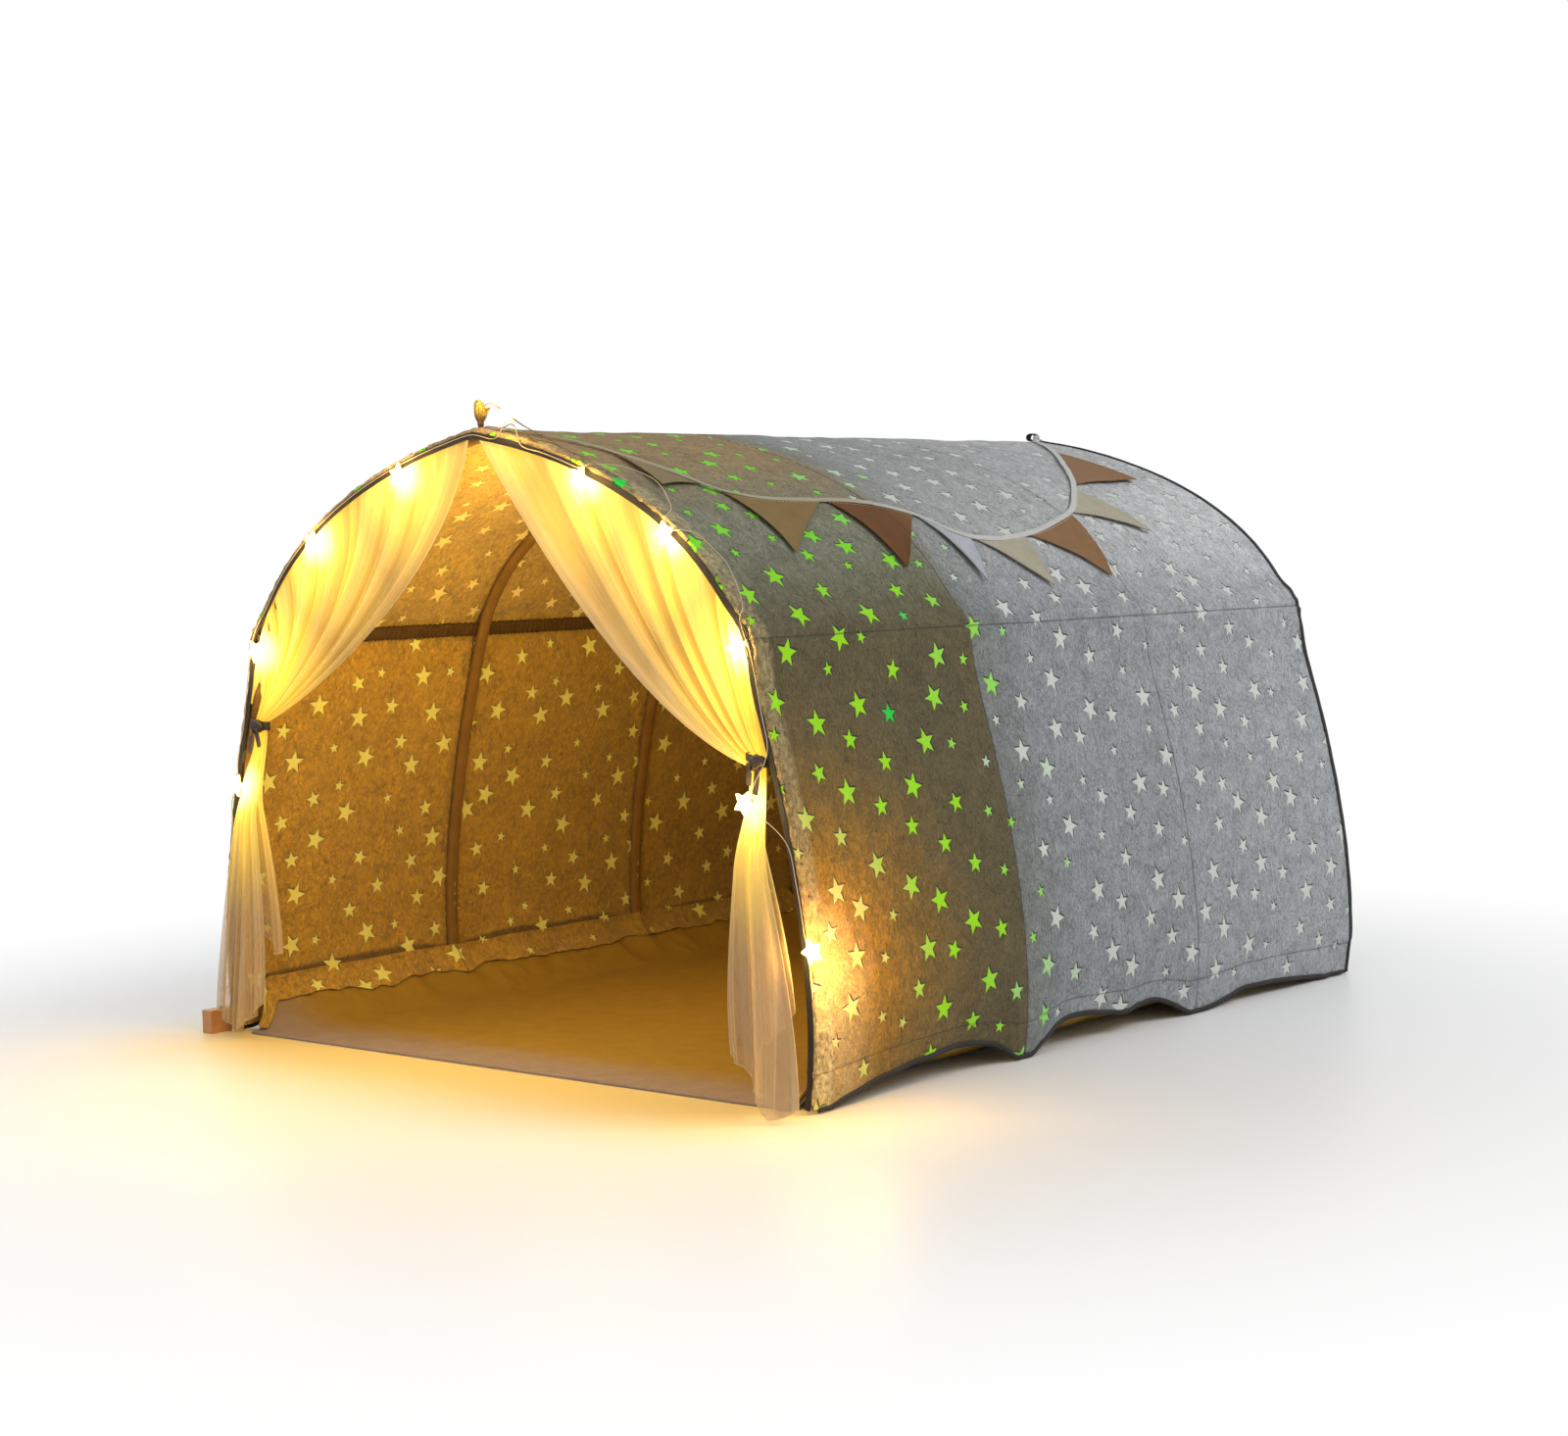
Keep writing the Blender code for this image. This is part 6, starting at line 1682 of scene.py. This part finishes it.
# %% Bow on the ridge
def ridge_bow():
    """Gold ribbon knotted over the ridge at the front, with upright loops and two thin strands."""
    foot = np.array([0.0, FRONT_Y + 0.013, RIDGE_HEIGHT + 0.0016])
    strips = [
        [(0, 0, 0.004), (-0.0030, -0.0005, 0.012), (-0.0052, 0, 0.022), (-0.0058, 0.0005, 0.0325)],
        [(0, 0, 0.004), (-0.0012, 0.0015, 0.013), (-0.0028, 0.0015, 0.022), (-0.0016, 0.002, 0.0300)],
        [(0, 0, 0.004), (0.0022, 0.0005, 0.012), (0.0040, 0, 0.021), (0.0036, -0.0005, 0.0285)],
        [(0, 0, 0.004), (0.0012, -0.0018, 0.012), (0.0010, -0.0026, 0.021), (0.0036, -0.0030, 0.0320)],
        [(0, 0, 0.005), (0.0032, 0.0020, 0.014), (0.0068, 0.0030, 0.020), (0.0120, 0.0035, 0.0225)],
    ]
    shape = np.concatenate([np.linspace(0.55, 1, 16), np.linspace(1, 0.86, 18), np.linspace(0.80, 0.35, 6)])
    parts = []
    for strip in strips:
        line = spread(foot + np.array(strip), 40)
        parts.append(swept(line, (0.5, 1, 0.1), rounded(0.0043, 0.0005, 10, 0.6), scale=shape))
    strand = foot + np.array([(0.001, 0, 0.006), (0.005, 0, 0.021), (0.014, -0.001, 0.0270),
                              (0.030, -0.003, 0.0235), (0.055, -0.005, 0.0100), (0.080, -0.006, -0.0030),
                              (0.106, -0.006, -0.0140)])
    parts.append(swept(spread(strand, 60), (0, 1, 0), rounded(0.0013, 0.0005, 8, 0.8)))
    turns = np.linspace(0, 4 * np.pi, 90)
    rise = 0.003 + 0.0045 * turns / turns[-1]
    wrap = foot + np.stack([0.0036 * np.cos(turns), 0.0030 * np.sin(turns), rise], -1)
    parts.append(swept(wrap, (0, 0, 1), rounded(0.0016, 0.0006, 8)))
    parts.append(swept(foot + np.linspace((0, 0, -0.0012), (0, 0, 0.010), 12), (1, 0, 0),
                       rounded(0.0032, 0.0028, 14, 0.8)))
    for end, sway, seed in ((0.23, 0.0050, 1.0), (0.17, 0.0036, 2.2), (0.10, 0.0070, 0.3)):
        share = np.linspace(0, 1, 70)
        distance = 0.004 + end * share
        place = place_at(distance)
        line = skin(place, FRONT_Y + 0.010 + 0.006 * np.sin(5 * share + seed) * share,
                    0.0026 + sway * np.sin(np.pi * share) ** 2 * (1 + 0.5 * np.sin(16 * share + seed)))
        line[0] = foot + (0, 0, 0.003)
        parts.append(swept(line, (0, 1, 0), rounded(0.0007, 0.0005, 8, 0.8)))
    keep(make("ridge_bow", parts, ["gold"]), "gold_ribbon", "ridge_ribbon")


ridge_bow()


# %% [markdown]
# ## Rear loop
# A webbing loop on the rear ridge holds the end of the bunting. It is a flat section swept round an oval,
# because a ring would be as thick as it is wide. The tape's knot and its two ends lie beside it.

# %% Loop and knot
def webbing_loop():
    """A small webbing loop on the ridge with the end of the bunting knotted to it."""
    centre = np.array([0.0, REAR_Y - 0.022, RIDGE_HEIGHT + 0.0062])
    turns = np.linspace(-0.46 * np.pi, 1.46 * np.pi, 60)
    line = centre + np.stack([0.0072 * np.cos(turns), 0 * turns, 0.0052 * np.sin(turns)], -1)
    parts = [swept(line, (0, 1, 0), rounded(0.0060, 0.0008, 12, 0.5))]
    ball = np.linspace(-1, 1, 13)
    width = np.sqrt(np.clip(1 - ball**2, 0.04, 1)) * (1 + 0.12 * np.sin(ball * 8))
    spine = centre + (0.0082, -0.002, -0.001) + np.outer(ball, (0.002, 0.005, 0.002))
    parts.append(swept(spine, (0, 0, 1), rounded(0.0040, 0.0034, 12, 0.8), 1, scale=width))
    for tip in ((0.012, -0.009, -0.0052), (0.016, 0.004, -0.0058)):
        path = spread(centre + np.array([(0.0082, -0.002, -0.001), (0.010, tip[1] / 2, -0.003), tip]), 16)
        parts.append(swept(path, (0.2, 1, 0), rounded(0.0024, 0.0005, 8, 0.5), 1))
    keep(make("webbing_loop", parts, ["binding", "tape"]), "binding", "rear_loop")


webbing_loop()


# %% [markdown]
# ## Grip of the battery cover
# The battery cover slides off towards the front, and ribs near its end give a finger hold. They could be
# cut into the cover. As a piece of their own they only have to ride on its body.

# %% Finger ribs
def grip_ribs():
    """Finger ribs on the end of the battery cover."""
    low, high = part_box("battery_cover")
    parts = []
    for step in range(5):
        y = low[1] + 0.006 + 0.0028 * step
        line = np.linspace((low[0] + 0.0002, y, low[2] + 0.006), (low[0] + 0.0002, y, high[2] - 0.006), 12)
        parts.append(swept(line, (0, 1, 0), rounded(0.0008, 0.0006, 10, 0.8)))
    keep(make("cover_grip", parts, ["plastic"]), "box_plastic", body="cover")


grip_ribs()


# %% [markdown]
# ## Solids that keep their shape
# Rods, elbows, poles, cells and the battery box are right as they come from the frame, so they only get
# their finishes.

# %% Finishes for the solids
FINISHES = {"battery_tray": "plastic", "battery_cover": "plastic", "light_switch": "switch",
            "battery_cell_lower": "battery", "battery_cell_upper": "battery", "eave_pole_left": "pole",
            "eave_pole_right": "pole"}
for hoop_number in range(1, len(HOOP_Y) + 1):
    FINISHES[f"hoop_{hoop_number}_rod_left"] = FINISHES[f"hoop_{hoop_number}_rod_right"] = "pole"
    FINISHES[f"hoop_{hoop_number}_ridge_elbow"] = "elbow"
for node_name, finish in FINISHES.items():
    for material_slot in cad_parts[node_name].material_slots:
        material_slot.material = CLOTHS[finish]
print(len(FINISHES), "solids with a finish")


# %% [markdown]
# ## Floor of the studio
# A plain pale floor shows the tent's shadow, and the lamps' warm pool before the mouth is painted into its
# colour. Further out it turns to plain white for the camera only, so no horizon shows.

# %% Pale floor
def studio_floor():
    data = bpy.data.meshes.new("studio_floor")
    data.from_pydata([(-9, -9, 0), (9, -9, 0), (9, 9, 0), (-9, 9, 0)], [], [(0, 1, 2, 3)])
    shader = Shader("studio_floor", roughness=0.42)
    place, x, y, _ = shader.place()
    # Painted pool of warm lamplight before the mouth.
    nearest = shader.math("MAXIMUM", abs(x + 0.02) - 0.40, 0.0)
    lit = shader.math("SQRT", nearest * nearest + (y + 0.60) * (y + 0.60))
    lit = 1 - shader.ramp(lit, 0.0, 0.36)
    lit = shader.mix(lit * lit, (0.93, 0.93, 0.93), (0.830, 0.690, 0.340))
    shader.join(shader.surface.inputs["Base Color"], lit)
    away = shader.node("VectorMath", {0: place, 1: (0.05, -0.15, 0)}, out=1, operation="DISTANCE")
    seen = shader.node("LightPath", out=0)
    share = shader.ramp(away, 0.75, 1.7) * seen
    white = shader.tree.nodes.new("ShaderNodeEmission")
    blend = shader.tree.nodes.new("ShaderNodeMixShader")
    shader.join(blend.inputs[0], share)
    shader.tree.links.new(shader.surface.outputs[0], blend.inputs[1])
    shader.tree.links.new(white.outputs[0], blend.inputs[2])
    shader.tree.links.new(blend.outputs[0], shader.tree.nodes["Material Output"].inputs["Surface"])
    data.materials.append(shader.material)
    floor = bpy.data.objects.new("studio_floor", data)
    bpy.context.scene.collection.objects.link(floor)


studio_floor()


# %% [markdown]
# ## Light
# Three large soft lights stand for a bright room. The lamps' own glow would take long to render cleanly,
# so each gets a small warm light, the lowest a second one, and two lights inside the tent and one over
# its threshold stand for what the string sheds there.

# %% Lights
def lamp_light(name, kind, place, power, colour, size, aim=None):
    data = bpy.data.lights.new(name, kind)
    data.energy, data.color = power, colour
    if kind == "AREA":
        data.size = size
    else:
        data.shadow_soft_size = size
    light = bpy.data.objects.new(name, data)
    light.location = place
    if aim is not None:
        ahead = unit(np.array(aim, float) - np.array(place, float))
        side = unit(np.cross(ahead, (0, 0, 1.0)))
        matrix = np.eye(4)
        matrix[:3, 0], matrix[:3, 1], matrix[:3, 2] = side, np.cross(side, ahead), -ahead
        matrix[:3, 3] = place
        light.matrix_world = Matrix(matrix.tolist())
    bpy.context.scene.collection.objects.link(light)


def studio_lights():
    world = bpy.data.worlds.new("studio")
    bpy.context.scene.world = world
    world.use_nodes = True
    tree = world.node_tree
    plain = tree.nodes["Background"]
    plain.inputs["Color"].default_value = (0.96, 0.98, 1.0, 1.0)
    plain.inputs["Strength"].default_value = 0.50
    white = tree.nodes.new("ShaderNodeBackground")
    white.inputs["Color"].default_value = (1.0, 1.0, 1.0, 1.0)
    path = tree.nodes.new("ShaderNodeLightPath")
    first, second = tree.nodes.new("ShaderNodeMath"), tree.nodes.new("ShaderNodeMath")
    first.operation = second.operation = "MAXIMUM"
    tree.links.new(path.outputs["Is Camera Ray"], first.inputs[0])
    tree.links.new(path.outputs["Is Glossy Ray"], first.inputs[1])
    tree.links.new(first.outputs[0], second.inputs[0])
    tree.links.new(path.outputs["Is Transmission Ray"], second.inputs[1])
    blend = tree.nodes.new("ShaderNodeMixShader")
    tree.links.new(second.outputs[0], blend.inputs[0])
    tree.links.new(plain.outputs[0], blend.inputs[1])
    tree.links.new(white.outputs[0], blend.inputs[2])
    tree.links.new(blend.outputs[0], tree.nodes["World Output"].inputs["Surface"])
    lamp_light("key", "AREA", (2.6, 1.4, 2.6), 50, (1.0, 0.99, 0.97), 1.8, (0.1, 0.1, 0.3))
    lamp_light("fill", "AREA", (1.2, -3.2, 1.8), 13, (1.0, 0.98, 0.95), 2.2, (0, -0.2, 0.3))
    lamp_light("left", "AREA", (-2.8, -0.2, 2.2), 20, (0.97, 0.98, 1.0), 2.0, (0, 0, 0.3))
    warm = (1.0, 0.60, 0.13)
    for number, star in enumerate(STARS, 1):
        place = front_point(*star) + (0, -0.014, 0)
        lamp_light(f"lamp_glow_{number}", "POINT", place, 0.36, warm, 0.012)
    lamp_light("leg_glow", "POINT", (0.550, -0.545, 0.165), 0.70, (1.0, 0.55, 0.10), 0.015)
    lamp_light("mouth_glow", "POINT", (0.0, -0.40, 0.56), 5.9, (1.0, 0.67, 0.18), 0.10)
    lamp_light("deep_glow", "POINT", (0.0, 0.10, 0.42), 1.2, (1.0, 0.68, 0.20), 0.12)
    lamp_light("threshold", "AREA", (-0.10, -0.80, 0.34), 0.8, (1.0, 0.66, 0.18), 0.5, (-0.10, -0.84, 0.0))


studio_lights()


# %% [markdown]
# ## The end
# Colours are shown as they are written.

# %% End
bpy.context.scene.view_settings.view_transform = "Standard"
